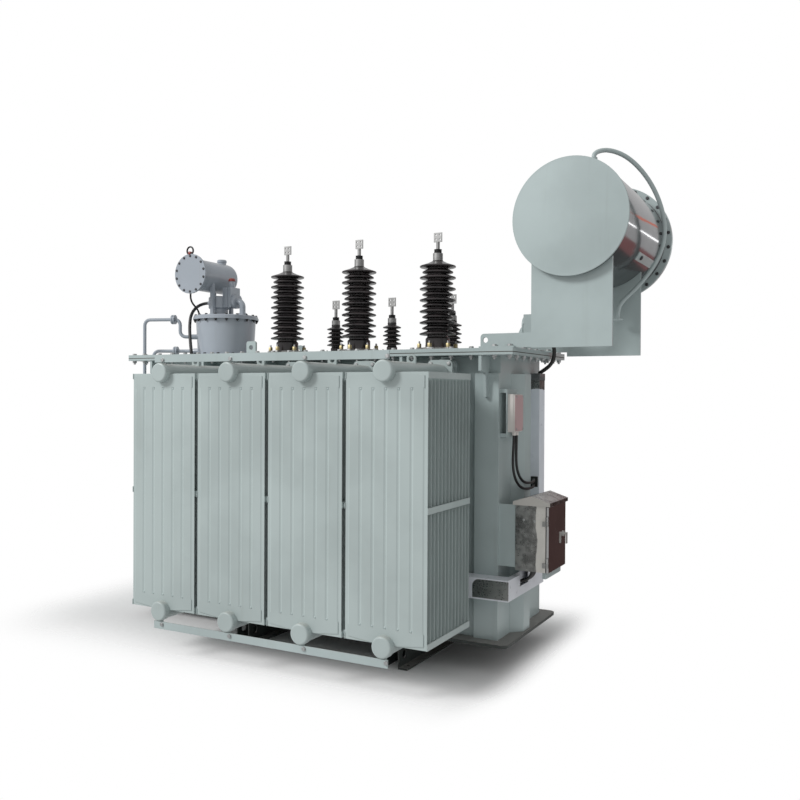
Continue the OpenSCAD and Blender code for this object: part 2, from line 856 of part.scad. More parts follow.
module radiator(i) {
  first_y = -rad_out + panel_t / 2;
  color(paint)
    translate([header_x(i), 0, 0]) {
      for (k = [0:panel_n - 1])
        translate([0, first_y + k * panel_pitch, rad_z])
          if (k == 0 || k == panel_n - 1) outer_panel();
          else inner_panel();
      for (z = [header_top_z, header_low_z])
        translate([0, 0, z])
          header_pipe();
      translate([0, 0, header_top_z])
        tie_lug();
      translate([0, 0, header_low_z])
        mirror([0, 0, 1])
          tie_lug();
      translate([0, -rad_out + panel_depth / 2 + panel_pitch / 2, header_top_z])
        lifting_eye();
      for (side = [-1, 1], z = [0, (rad_h - band_h) / 2, rad_h - band_h])
        translate([side * (rad_w / 2 + weld_gap + band_t / 2) - band_t / 2, -rad_out, rad_z + z])
          cube([band_t, panel_depth, band_h]);
    }
}

module radiator_front(i) { radiator(i); }

module radiator_rear(i) {
  mirror([0, 1, 0])
    radiator(i);
}

// Valves: butterfly valves between the headers and the stub pipes on the tank wall
module valves(n) {
  color(paint)
    for (i = [0:n - 1], z = [header_top_z, header_low_z])
      translate([header_x(i), 0, z]) {
        bar_y(-wall_y - stub_l, stub_l, header_d);
        pipe_flange(-wall_y - stub_l - pipe_flange_t);
        bar_y(-valve_end_y, valve_l, valve_d);
      }
}

module valves_front() { valves(rad_n); }

module valves_rear() {
  mirror([0, 1, 0])
    valves(rear_n);
}

// Tie bars: flat bars across the end caps of a row, above the upper and below the lower ones
module tie_bars(n) {
  over = tie_lug_w / 2 + tie_over;
  reach = cap_d / 2 + tie_gap;
  color(paint)
    for (z = [header_top_z + reach, header_low_z - reach - tie_h])
      translate([header_x(0) - over, -rad_out - cap_out + tie_set_back, z])
        cube([(n - 1) * rad_pitch + 2 * over, tie_t, tie_h]);
}

module tie_bars_front() { tie_bars(rad_n); }

module tie_bars_rear() {
  mirror([0, 1, 0])
    tie_bars(rear_n);
}

// Half outline of a bushing: foot, alternating thick sheds with round rims, and a cone
shed_part = 0.92;

module bushing_profile(foot_d, foot_h, n, shed_d, small_d, core_d, pitch, cone_h, neck_d) {
  last = 2 * n - 2;
  sheds = [for (i = [0:last]) let (r = (i % 2 == 0 ? shed_d : small_d) / 2, z = foot_h + i * pitch) each [
    [core_d / 2, z],
    [r - pitch * 0.20, z + pitch * 0.16],
    [r - pitch * 0.04, z + pitch * 0.22],
    [r, z + pitch * 0.34],
    [r - pitch * 0.06, z + pitch * 0.46],
    [core_d / 2, z + pitch * shed_part]
  ]];
  top = foot_h + (last + shed_part) * pitch;
  polygon(concat(
    [[0, 0], [foot_d / 2, 0], [foot_d / 2, foot_h - pitch / 2], [core_d / 2, foot_h - pitch / 5]],
    sheds,
    [[neck_d / 2, top + cone_h], [0, top + cone_h]]
  ));
}

function hv_top() = hv_foot_h + (2 * hv_shed_n - 2 + shed_part) * hv_shed_pitch + hv_cone_h;
function lv_top() = lv_foot_h + (2 * lv_shed_n - 2 + shed_part) * lv_shed_pitch + lv_cone_h;

module hv_bushing(i) {
  color(porcelain)
    translate(hv_place(i))
      rotate_extrude()
        bushing_profile(hv_foot_d, hv_foot_h, hv_shed_n, hv_shed_d, hv_small_shed_d, hv_core_d,
                        hv_shed_pitch, hv_cone_h, hv_neck_d);
}

module lv_bushing(i) {
  color(porcelain)
    translate(lv_place(i))
      rotate_extrude()
        bushing_profile(lv_foot_d, lv_foot_h, lv_shed_n, lv_shed_d, lv_small_shed_d, lv_core_d,
                        lv_shed_pitch, lv_cone_h, lv_neck_d);
}

// Clamp ring with a chamfered upper edge
module clamp_ring(outer, inner, h) {
  rotate_extrude()
    polygon([[inner / 2, 0], [outer / 2, 0], [outer / 2, h * 0.6], [outer / 2 - h * 0.4, h], [inner / 2, h]]);
}

module hv_clamp_rings() {
  color(tin)
    for (i = [0:bush_n - 1])
      translate(hv_place(i))
        clamp_ring(hv_ring_d, hv_foot_d + 2 * ring_clearance, hv_ring_h);
}

module lv_clamp_rings() {
  color(tin)
    for (i = [0:bush_n - 1])
      translate(lv_place(i))
        clamp_ring(lv_ring_d, lv_foot_d + 2 * ring_clearance, lv_ring_h);
}

// Flag terminal: cap, hexagon nut, stem and a flat palm with four holes
module terminal(cap_d, cap_h, nut_d, nut_h, stem_d, stem_l, flag_w, flag_h, flag_t, pitch, hole_d) {
  cylinder(h = cap_h, d = cap_d);
  translate([0, 0, cap_h - eps])
    cylinder(h = nut_h + eps, d = nut_d, $fn = 6);
  translate([0, 0, cap_h])
    cylinder(h = nut_h + stem_l, d = stem_d);
  translate([0, 0, cap_h + nut_h + stem_l])
    difference() {
      translate([-flag_w / 2, -flag_t / 2, -eps])
        cube([flag_w, flag_t, flag_h + eps]);
      for (x = [-1, 1], z = [-1, 1])
        translate([x * pitch / 2, 0, flag_h / 2 + z * pitch / 2])
          bar_y(-flag_t, 2 * flag_t, hole_d);
    }
}

module hv_terminals() {
  color(tin)
    for (i = [0:bush_n - 1])
      translate(hv_place(i) + [0, 0, hv_top()])
        terminal(hv_cap_d, hv_cap_h, hv_nut_d, hv_nut_h, hv_stem_d, hv_stem_l,
                 hv_flag_w, hv_flag_h, hv_flag_t, hv_flag_hole_pitch, hv_flag_hole_d);
}

module lv_terminals() {
  color(tin)
    for (i = [0:bush_n - 1])
      translate(lv_place(i) + [0, 0, lv_top()])
        terminal(lv_cap_d, lv_cap_h, lv_nut_d, lv_nut_h, lv_stem_d, lv_stem_l,
                 lv_flag_w, lv_flag_h, lv_flag_t, lv_flag_hole_pitch, lv_flag_hole_d);
}

// Tap changer: a drum on the cover, with two oil nozzles on its left side
tap_nozzle_d = 40;
tap_nozzle_reach = 58;
tap_high_nozzle = [207, 158];
tap_low_nozzle = [190, 50];
tap_nozzle_lead = 75;

function tap_nozzle_end(n, lead = 0) =
  [tap_x, 0, top_z + n[1]] + (tap_drum_d / 2 + tap_nozzle_reach + lead) * [cos(n[0]), sin(n[0]), 0];

module tap_drum() {
  r = tap_drum_d / 2;
  color(tap_paint)
    translate([tap_x, 0, top_z]) {
      rotate_extrude()
        polygon([[0, 0], [tap_foot_d / 2, 0], [tap_foot_d / 2, tap_foot_t], [r - tap_drum_taper, tap_foot_t],
                 [r, tap_drum_h], [0, tap_drum_h]]);
      for (n = [tap_high_nozzle, tap_low_nozzle])
        translate([0, 0, n[1]])
          rotate([0, 0, n[0]])
            bar_x(r / 2, r / 2 + tap_nozzle_reach, tap_nozzle_d);
      translate([0, 0, tap_drum_h])
        cylinder(h = tap_head_t, d = tap_head_d);
    }
}

// Head cover: a bolted disc with a chamfered edge
tap_edge = 5;

module tap_head_cover() {
  r = tap_head_d / 2 - tap_edge;
  color(tap_paint)
    translate([tap_x, 0, tap_head_z - tap_head_t])
      rotate_extrude()
        polygon([[0, 0], [r, 0], [r, tap_head_t - tap_edge], [r - tap_edge, tap_head_t], [0, tap_head_t]]);
}

// Gear head: a turned housing on a stepped neck, standing on the head cover
tap_gear_place = [tap_x - 19, -60, tap_head_z];
tap_gear_round = 10;
tap_gland_d = 34;
tap_gland_l = 22;

module tap_gear_head() {
  r = tap_gear_d / 2;
  top = tap_neck_h + tap_gear_h;
  color(tap_paint)
    translate(tap_gear_place) {
      rotate_extrude()
        polygon([[0, 0], [r, 0], [r, tap_gear_round], [r * 0.9, tap_neck_h * 0.3], [r * 0.84, tap_neck_h * 0.3],
                 [r * 0.84, tap_neck_h - tap_gear_round], [r, tap_neck_h], [r, top - tap_gear_round],
                 [r - 2 * tap_gear_round, top], [0, top]]);
      translate([0, 0, tap_neck_h + tap_gear_h / 2])
        bar_x(-r - tap_gland_l, r + tap_gland_l, tap_gland_d);
    }
}

// Oil-flow relay: ribbed housing beside the gear head, with a flanged elbow down to the head cover
relay_x = tap_x + 66;
relay_y = -50;
relay_w = 126;
relay_depth = 100;
relay_h = 156;
relay_rib_t = 8;
elbow_d = 46;
elbow_r = 46;
elbow_flange_d = 112;
elbow_flange_t = 14;

module tap_flow_relay() {
  base = tap_head_z + tap_neck_h;
  side_x = relay_x + relay_w / 2;
  axis_z = base + elbow_flange_d / 2 - relay_rib_t;
  elbow_x = side_x + 2 * elbow_flange_t;
  color(tap_paint)
    difference() {
      union() {
        translate([relay_x - relay_w / 2, relay_y - relay_depth / 2, base])
          cube([relay_w, relay_depth, relay_h]);
        for (x = [-0.1, 0.2, 0.45])
          translate([relay_x + x * relay_w, relay_y - relay_depth / 2 - relay_rib_t, base])
            cube([relay_rib_t, relay_depth + 2 * relay_rib_t, relay_h]);
        translate([relay_x + relay_w / 4, relay_y, base + relay_h - eps])
          cylinder(h = relay_h / 3, d = elbow_d);
        translate([0, relay_y, axis_z])
          bar_x(side_x - eps, 2 * elbow_flange_t + eps, elbow_flange_d);
        translate([elbow_x, relay_y, axis_z - elbow_r])
          rotate([90, 0, 0])
            rotate_extrude(angle = 90)
              translate([elbow_r, 0])
                circle(d = elbow_d);
        translate([elbow_x + elbow_r, relay_y, tap_head_z])
          cylinder(h = axis_z - elbow_r - tap_head_z, d = elbow_d);
        translate([elbow_x + elbow_r, relay_y, tap_head_z])
          cylinder(h = elbow_flange_t, d = elbow_flange_d * 0.6);
      }
      translate(tap_gear_place)
        cylinder(h = 2 * relay_h, d = tap_gear_d + 2 * saddle_clearance);
    }
}

// Small conservator: rolled barrel with a dished rear end, closed in front by a bolted cover
module dished_profile(r, l, dish) {
  polygon(concat(
    [[0, 0], [r, 0]],
    [for (a = [0:15:75]) [r - dish + dish * cos(a), l + dish * sin(a)]],
    [[r - dish, l + dish], [0, l + dish]]
  ));
}

module tap_conservator() {
  color(tap_paint)
    translate([tap_tank_x, -tap_tank_front, tap_axis_z])
      rotate([-90, 0, 0])
        difference() {
          rotate_extrude()
            dished_profile(tap_tank_d / 2, tap_tank_l, tap_tank_dish);
          translate([0, 0, -eps])
            rotate_extrude()
              dished_profile(tap_tank_d / 2 - tap_tank_wall, tap_tank_l + eps, tap_tank_dish - tap_tank_wall);
        }
}

module tap_conservator_cover() {
  color(tap_paint)
    translate([tap_tank_x, -tap_tank_front - tap_cover_t, tap_axis_z])
      bar_y(0, tap_cover_t, tap_cover_d);
}

tap_leg_places = [[91, -165], [91, 60], [-84, 60]];

module tap_conservator_legs() {
  color(tap_paint)
    difference() {
      for (p = tap_leg_places)
        translate([tap_tank_x + p[0] - tap_leg_w / 2, p[1] - tap_leg_w / 2, tap_head_z])
          cube([tap_leg_w, tap_leg_w, tap_axis_z - tap_head_z]);
      translate([tap_tank_x, 0, tap_axis_z])
        bar_y(-tap_tank_front, tap_tank_l, tap_tank_d + 2 * saddle_clearance);
    }
}

// Cables of the tap changer: from the gear head's gland to the cover, and from the small conservator down
tap_cable_d = 24;
tap_cable_route = [[-1446, -60, 2418], [-1476, -74, 2412], [-1502, -104, 2392], [-1512, -142, 2356],
                   [-1508, -176, 2310], [-1496, -200, 2260], [-1480, -221, 2200], [-1459, -240, 2140],
                   [-1439, -256, 2080], [-1424, -265, 2030], [-1420, -267, 2008]];
gauge_cable_d = 14;
gauge_cable_route = [[-1391, -312, 2440], [-1391, -304, 2412], [-1391, -280, 2385], [-1391, -250, 2365],
                     [-1391, -226, 2344], [-1391, -215, 2322]];

module tap_cables() {
  start = tap_gear_place + [-tap_gear_d / 2 - tap_gland_l, 0, tap_neck_h + tap_gear_h / 2];
  foot = tap_cable_route[len(tap_cable_route) - 1];
  gauge_top = gauge_cable_route[0];
  gauge_foot = gauge_cable_route[len(gauge_cable_route) - 1];
  color(black) {
    tube(eased(concat([start], tap_cable_route, [[foot[0], foot[1], top_z]])), tap_cable_d, 10);
    tube(eased(concat([[gauge_top[0], gauge_top[1], tap_axis_z - tap_cover_d / 2]], gauge_cable_route,
                      [[gauge_foot[0], gauge_foot[1], tap_head_z]])), gauge_cable_d, 10);
  }
}

// Oil pipes: risers up the left end wall that turn across the cover to the drum
tap_riser_drop = 699;
tap_run_h = 295;
tap_pipe_low_z = flange_z - tap_riser_drop;
tap_riser_ys = [-257, -158];
tap_pipe_bend = 45;

function tap_high_route() =
  let (x = -tank_left - tap_riser_out, y = tap_riser_ys[0], run_z = top_z + tap_run_h)
  let (e = tap_nozzle_end(tap_high_nozzle), q = tap_nozzle_end(tap_high_nozzle, tap_nozzle_lead))
  rounded_route([[x, y, tap_pipe_low_z], [x, y, run_z], [q[0], q[1], run_z], q, e], tap_pipe_bend);

function tap_low_route() =
  let (x = -tank_left - tap_riser_out, y = tap_riser_ys[1])
  let (e = tap_nozzle_end(tap_low_nozzle), q = tap_nozzle_end(tap_low_nozzle, tap_nozzle_lead))
  rounded_route([[x, y, tap_pipe_low_z], [x, y, e[2]], q, e], tap_pipe_bend);

module tap_oil_pipes() {
  clip_h = 30;
  clip_t = 6;
  color(tap_paint) {
    tube(tap_high_route(), tap_pipe_d);
    tube(tap_low_route(), tap_pipe_d);
    for (y = tap_riser_ys, z = [tap_pipe_low_z + 100, flange_z - 150])
      translate([-tank_left - tap_riser_out, y - clip_t / 2, z])
        cube([tap_riser_out, clip_t, clip_h]);
  }
}

// Main conservator: rolled barrel with a rear flange and nozzles for the relay and breather pipes
nozzle_d = 40;
breather_x = cons_x + 110;
breather_y = -cons_front + 111;
breather_nozzle_z = cons_axis_z + cons_d / 2 + 12;
relay_nozzle_x = cons_x - 120;
relay_nozzle_y = 0;
relay_nozzle_z = cons_axis_z - cons_d / 2 - 20;

module conservator_barrel() {
  color(paint)
    difference() {
      union() {
        translate([cons_x, 0, cons_axis_z]) {
          bar_y(-cons_front, cons_l, cons_d);
          bar_y(-cons_front + cons_l - cons_flange_t, cons_flange_t, cons_flange_d);
        }
        translate([breather_x, breather_y, cons_axis_z])
          cylinder(h = breather_nozzle_z - cons_axis_z, d = nozzle_d);
        translate([relay_nozzle_x, relay_nozzle_y, relay_nozzle_z])
          cylinder(h = cons_axis_z - relay_nozzle_z, d = relay_pipe_d + 14);
      }
      translate([cons_x, 0, cons_axis_z])
        bar_y(-cons_front - eps, cons_l + 2 * eps, cons_d - 2 * cons_wall);
    }
}

// Front end: a disc with a plain rim and a shallow cone pressed into it
cons_end_rim = 48;

module conservator_front_end() {
  r = cons_end_d / 2;
  color(paint)
    translate([cons_x, -cons_front, cons_axis_z])
      rotate([90, 0, 0])
        rotate_extrude()
          polygon([[0, 0], [r, 0], [r, cons_end_t], [r - cons_end_rim, cons_end_t], [0, cons_end_t + cons_cone]]);
}

module conservator_rear_cover() {
  color(paint)
    translate([cons_x, -cons_front + cons_l, cons_axis_z])
      bar_y(0, cons_flange_t, cons_flange_d);
}

// Saddle brackets: one plate each, hollowed to the barrel, with an arm and foot on the tank cover
module saddle_bracket(y, drop) {
  color(paint)
    difference() {
      union() {
        plate_xz(y - saddle_t / 2, saddle_t) {
          translate([cons_x - saddle_w / 2, top_z - drop])
            square([saddle_w, cons_z + drop]);
          round_rect([arm_x, top_z], [cons_x, top_z + arm_h], arm_r);
          translate([arm_x, top_z])
            square([arm_r * 2, arm_h / 2]);
        }
        translate([arm_x, y - arm_foot_w / 2, top_z])
          intersection() {
            cube([tank_right + flange_out_right - arm_x, arm_foot_w, arm_foot_t]);
            translate([0, max(0, -flange_y - y + arm_foot_w / 2), 0])
              cube([cons_x, arm_foot_w, arm_foot_t]);
          }
      }
      translate([cons_x, y, cons_axis_z])
        bar_y(-saddle_t, 2 * saddle_t, cons_d + 2 * saddle_clearance);
      translate([arm_x + arm_hole_in, y, top_z + arm_h / 2 + arm_foot_t / 2])
        bar_y(-saddle_t, 2 * saddle_t, arm_hole_d);
    }
}

module saddle_front_bracket() { saddle_bracket(-saddle_front, saddle_drop); }
module saddle_rear_bracket() { saddle_bracket(saddle_rear, saddle_rear_drop); }

// Breather pipe: leaves the top of the barrel and loops down its right side
breather_route = [
  [0, 0, 0], [0, 0, 20], [8, 16, 40], [30, 46, 62], [75, 95, 78], [150, 175, 45], [230, 265, -75], [285, 365, -205],
  [310, 465, -345], [285, 530, -490], [205, 552, -620], [110, 552, -725], [35, 550, -790],
  [14, 550, -840], [12, 550, -900]
];
breather_flange_d = 62;
breather_flange_t = 10;

module breather_pipe() {
  start = [breather_x, breather_y, breather_nozzle_z];
  end = start + breather_route[len(breather_route) - 1];
  color(paint) {
    tube([for (p = breather_route) start + p], breather_d);
    translate(end - [0, 0, breather_flange_t])
      cylinder(h = breather_flange_t + eps, d = breather_flange_d);
  }
}

// Gas relay: flanged housing in the pipe from the cover up to the conservator
gas_pipe_x = tank_right + 10;
gas_run_z = top_z + 154;
gas_rise = 40;
gas_flange_d = relay_pipe_d + 60;
gas_flange_t = 12;

module gas_relay() {
  box_x = (gas_pipe_x + relay_nozzle_x) / 2 - 90;
  color(paint) {
    tube(rounded_route([[gas_pipe_x, relay_nozzle_y, top_z], [gas_pipe_x, relay_nozzle_y, gas_run_z],
                        [relay_nozzle_x, relay_nozzle_y, gas_run_z + gas_rise],
                        [relay_nozzle_x, relay_nozzle_y, relay_nozzle_z]], relay_pipe_d), relay_pipe_d, 16);
    translate([gas_pipe_x, relay_nozzle_y, top_z])
      cylinder(h = gas_flange_t, d = gas_flange_d);
    translate([box_x, relay_nozzle_y, gas_run_z + gas_rise / 3])
      for (x = [-relay_box / 2 - gas_flange_t, relay_box / 2])
        bar_x(x, gas_flange_t, gas_flange_d);
    translate([box_x - relay_box / 2, relay_nozzle_y - relay_box / 2, gas_run_z + gas_rise / 3 - relay_box / 2])
      cube([relay_box, relay_box, relay_box * 1.1]);
  }
}

// Control cabinet: a folded sheet box, open towards +X, with a rim around the doorway
module cabinet_shell() {
  color(steel)
    translate([cab_x, -cab_front, cab_z])
      difference() {
        cube([shell_d, cab_w, cab_h]);
        translate([cab_sheet, cab_sheet, cab_sheet])
          cube([shell_d - 2 * cab_sheet, cab_w - 2 * cab_sheet, cab_h - 2 * cab_sheet]);
        translate([cab_sheet, cab_rim, cab_rim])
          cube([shell_d, cab_w - 2 * cab_rim, cab_h - 2 * cab_rim]);
      }
}

// Hinge blocks and pins on the cabinet's front side carry the door
hinge_leaf_t = 3;
knuckle_gap = 0.5;

function hinge_zs() = [cab_z + hinge_inset, cab_z + cab_h - hinge_inset - knuckle_l];

module hinge_pins() {
  block_x = cab_x + shell_d - cab_rim;
  for (z = hinge_zs())
    translate([0, 0, z - knuckle_l]) {
      translate([hinge_x, hinge_y, 0])
        cylinder(h = knuckle_l - knuckle_gap, d = hinge_d);
      translate([hinge_x, hinge_y, 0])
        cylinder(h = 2 * knuckle_l, d = hinge_pin_d);
      translate([block_x, hinge_y, 0])
        cube([hinge_x - block_x, -cab_front - hinge_y, knuckle_l - knuckle_gap]);
    }
}

// Cabinet roof: a folded cap with a ridge along Y and short eaves
module cabinet_roof() {
  half = cab_d / 2 + roof_over;
  color(steel)
    translate([cab_x + cab_d / 2, 0, cab_z + cab_h]) {
      plate_xz(-cab_front - roof_over, cab_w + 2 * roof_over)
        polygon([[-half, 0], [half, 0], [half, eave_h], [0, eave_h + ridge_rise], [-half, eave_h]]);
    }
}

// Brackets: upright plates from the tank's end wall and end rib to the cabinet's back
module cabinet_brackets() {
  rib_side_y = end_rib_y + end_rib_w / 2;
  back_y = min(-cab_front + cab_w - cab_rim, rib_side_y - cab_bracket_t) - cab_bracket_t;
  color(paint) {
    translate([tank_right, -cab_front + cab_sheet, cab_z + cab_rim])
      cube([cab_out, cab_bracket_t, cab_h - cab_rim]);
    translate([end_rib_x, back_y, cab_z + cab_rim])
      cube([cab_x - end_rib_x, cab_bracket_t, cab_h - 2 * cab_rim]);
  }
  color(steel)
    hinge_pins();
}

// Door: a pan-shaped sheet with turned edges, hung on two knuckles
module cabinet_door() {
  height = cab_h - door_clearance;
  edge_y = -cab_front + door_side_gap;
  width = cab_w - door_side_gap;
  color(steel)
    difference() {
      union() {
        difference() {
          translate([door_x, edge_y, cab_z])
            cube([door_t, width, height]);
          translate([door_x - eps, edge_y + cab_sheet, cab_z + cab_sheet])
            cube([door_t - cab_sheet + eps, width - 2 * cab_sheet, height - 2 * cab_sheet]);
        }
        for (z = hinge_zs()) {
          translate([hinge_x, hinge_y, z])
            cylinder(h = knuckle_l, d = hinge_d);
          translate([hinge_x - hinge_leaf_t / 2, hinge_y, z])
            cube([hinge_leaf_t, edge_y - hinge_y + cab_sheet, knuckle_l]);
        }
      }
      for (z = hinge_zs())
        translate([hinge_x, hinge_y, z - eps])
          cylinder(h = knuckle_l + 2 * eps, d = hinge_pin_d + 2 * hinge_clearance);
    }
}

// Lock: a round escutcheon with a drop handle on the door's free side
lock_inset = 40;
lock_d = 34;
lock_t = 8;
handle_l = 62;
handle_w = 16;

module door_lock() {
  color(tin)
    translate([cab_x + cab_d, -cab_front + cab_w - lock_inset, cab_z + cab_h / 2]) {
      bar_x(0, lock_t, lock_d);
      bar_x(0, 2 * lock_t, handle_w);
      translate([2 * lock_t, -handle_w / 2, -handle_l])
        cube([lock_t, handle_w, handle_l + handle_w / 2]);
    }
}

// Terminal box on its back plate, with a lid and glands in its underside
gland_d = 26;
gland_l = 22;
gland_pitch = 48;
term_lid_t = 8;

module terminal_box() {
  x = tank_right + term_out + term_plate_t;
  color(paint) {
    translate([x, term_y, term_z])
      cube([term_d - term_lid_t, term_w, term_h]);
    translate([x + term_d - term_lid_t, term_y + 3, term_z + 3])
      cube([term_lid_t, term_w - 6, term_h - 6]);
    for (k = [-1, 1])
      translate([x + term_d / 2, term_y + term_w / 2 + k * gland_pitch / 2, term_z - gland_l])
        cylinder(h = gland_l, d = gland_d);
  }
}

module terminal_box_bracket() {
  border = 16;
  foot = 24;
  color(paint) {
    translate([tank_right + term_out, term_y - border, term_z - 2 * border])
      cube([term_plate_t, term_w + 2 * border, term_h + 4 * border]);
    for (z = [term_z - 2 * border, term_z + term_h + 2 * border - foot])
      translate([tank_right, term_y - border, z])
        cube([term_out, term_w + 2 * border, foot]);
  }
}

// Vertical trunking: a folded channel, closed by a cover, on the right end wall
module vertical_trunking() {
  color(steel)
    translate([tank_right, trunk_y, trunk_z])
      difference() {
        cube([trunk_d, trunk_w, trunk_l]);
        translate([tray_sheet, tray_sheet, -eps])
          cube([trunk_d - 2 * tray_sheet, trunk_w - 2 * tray_sheet, trunk_l + 2 * eps]);
      }
}

// Lower tray: a closed channel around the tank's corner, with a cable cut-out on the end run
slot_y = -298;
slot_w = 150;
slot_h = 72;

module lower_tray() {
  run_y = tray_face_y + tray_rear;
  color(steel)
    difference() {
      translate([0, 0, tray_z]) {
        translate([tray_left, -tray_face_y, 0])
          cube([tray_face_x - tray_left, tray_front_d, tray_h]);
        translate([end_rib_x, -tray_face_y, 0])
          cube([tray_end_d, run_y, tray_h]);
      }
      translate([tray_left - eps, -tray_face_y + tray_sheet, tray_z + tray_sheet])
        cube([tray_face_x - tray_left - tray_sheet + eps, tray_front_d - 2 * tray_sheet, tray_h - 2 * tray_sheet]);
      translate([end_rib_x + tray_sheet, -tray_face_y + tray_sheet, tray_z + tray_sheet])
        cube([tray_end_d - 2 * tray_sheet, run_y - 2 * tray_sheet, tray_h - 2 * tray_sheet]);
      translate([end_rib_x + tray_sheet, slot_y, tray_z + tray_h - slot_h])
        cube([tray_end_d, slot_w, slot_h + eps]);
    }
}

// Control cables: from the terminal box's glands across the end rib to the trunking, and from the
// cabinet's underside into the cut-out of the tray
left_route = [[1233, -306.5, 1420], [1233, -312, 1380], [1234, -322, 1325], [1236, -329, 1270], [1240, -322, 1215],
              [1246, -294, 1165], [1252, -240, 1126], [1256, -165, 1106], [1256, -80, 1100], [1249, 0, 1099],
              [1234, 66, 1100], [1216, 114, 1101], [1204, 146, 1101]];
right_route = [[1233, -258.5, 1420], [1234, -264, 1375], [1236, -272, 1320], [1239, -274, 1268], [1244, -262, 1218],
               [1251, -228, 1175], [1257, -172, 1148], [1260, -100, 1138], [1255, -20, 1136], [1240, 55, 1135],
               [1221, 107, 1135], [1206, 144, 1135]];
entry_lead = 12;
drop_d = 18;
drop_ys = [-283, -261, -239, -217];
drop_out = 71;
drop_lead = 12;
drop_bend = 75;

module control_cables() {
  x = tank_right + term_out + term_plate_t + term_d / 2;
  in_x = tank_right + trunk_d / 2;
  top = term_z - gland_l;
  drop_x = cab_x + drop_out;
  color(black) {
    for (k = [-1, 1]) {
      route = k < 0 ? left_route : right_route;
      end_z = route[len(route) - 1][2];
      tube(eased(concat([[x, term_y + term_w / 2 + k * gland_pitch / 2, top]], route,
                        [[in_x, trunk_y - entry_lead, end_z], [in_x, trunk_y, end_z]])), cable_d, 10);
    }
    for (y = drop_ys)
      tube(concat([[drop_x, y, cab_z]],
                  [for (a = [0:15:90]) [drop_x - drop_bend + drop_bend * cos(a), y,
                                        cab_z - drop_lead - drop_bend * sin(a)]]), drop_d, 10);
  }
}

skid_left();
skid_right();
base_plate();
tank_shell();
tank_ribs();
tank_flange();
flange_gussets();
cover_plate();
lifting_lugs();
radiator_front(0);  // radiator_front_1
radiator_front(1);  // radiator_front_2
radiator_front(2);  // radiator_front_3
radiator_front(3);  // radiator_front_4
radiator_rear(0);  // radiator_rear_1
radiator_rear(1);  // radiator_rear_2
radiator_rear(2);  // radiator_rear_3
valves_front();
valves_rear();
tie_bars_front();
tie_bars_rear();
hv_bushing(0);  // hv_bushing_1
hv_bushing(1);  // hv_bushing_2
hv_bushing(2);  // hv_bushing_3
hv_clamp_rings();
hv_terminals();
lv_bushing(0);  // lv_bushing_1
lv_bushing(1);  // lv_bushing_2
lv_bushing(2);  // lv_bushing_3
lv_clamp_rings();
lv_terminals();
tap_drum();
tap_head_cover();
tap_gear_head();
tap_flow_relay();
tap_conservator();
tap_conservator_cover();
tap_conservator_legs();
tap_cables();
tap_oil_pipes();
conservator_barrel();
conservator_front_end();
conservator_rear_cover();
saddle_front_bracket();
saddle_rear_bracket();
breather_pipe();
gas_relay();
cabinet_shell();
cabinet_roof();
cabinet_brackets();
cabinet_door();
door_lock();
terminal_box();
terminal_box_bracket();
vertical_trunking();
lower_tray();
control_cables();
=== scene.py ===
import math

import bmesh
import bpy
import numpy as np
from mathutils import Matrix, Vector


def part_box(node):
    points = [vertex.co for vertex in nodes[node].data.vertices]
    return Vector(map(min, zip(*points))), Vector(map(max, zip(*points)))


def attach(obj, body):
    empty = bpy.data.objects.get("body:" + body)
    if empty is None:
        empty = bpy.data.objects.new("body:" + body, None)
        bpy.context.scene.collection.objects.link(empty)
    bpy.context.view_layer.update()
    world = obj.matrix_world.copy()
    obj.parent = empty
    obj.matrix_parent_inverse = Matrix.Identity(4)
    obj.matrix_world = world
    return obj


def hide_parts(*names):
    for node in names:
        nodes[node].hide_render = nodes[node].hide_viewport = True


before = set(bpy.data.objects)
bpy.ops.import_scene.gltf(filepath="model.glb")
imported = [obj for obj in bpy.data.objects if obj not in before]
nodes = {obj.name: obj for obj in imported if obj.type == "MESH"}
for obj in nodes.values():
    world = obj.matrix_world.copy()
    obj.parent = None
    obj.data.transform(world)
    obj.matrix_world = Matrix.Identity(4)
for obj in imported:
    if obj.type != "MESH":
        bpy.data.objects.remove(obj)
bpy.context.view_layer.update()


# The view: eye level, in front of the radiators and to the right of their middle.
# The lens and the place come from the corners of the radiator panels.
def unit(vector):
    """The vector at length 1."""
    return np.array(vector, float) / np.linalg.norm(vector)


def shown(name, data):
    """A new object for the data, linked into the scene."""
    made = bpy.data.objects.new(name, data)
    bpy.context.scene.collection.objects.link(made)
    return made


upright = np.array([0.0, 0.0, 1.0])
eye = np.array([3.119, -5.385, 1.716])
ahead = unit([-0.4684, 0.8835, -0.0086])
level = unit(np.cross(ahead, upright))
over = np.cross(level, ahead)
roll = math.radians(0.29)
lens = bpy.data.cameras.new("camera")
lens.lens, lens.sensor_width = 38.7, 36.0
camera = shown("camera", lens)
camera.matrix_world = Matrix(np.vstack([
    np.column_stack([
        math.cos(roll) * level + math.sin(roll) * over,
        math.cos(roll) * over - math.sin(roll) * level,
        -ahead,
        eye,
    ]),
    [0.0, 0.0, 0.0, 1.0],
]).tolist())
bpy.context.scene.camera = camera
bpy.context.scene.view_settings.view_transform = "Standard"


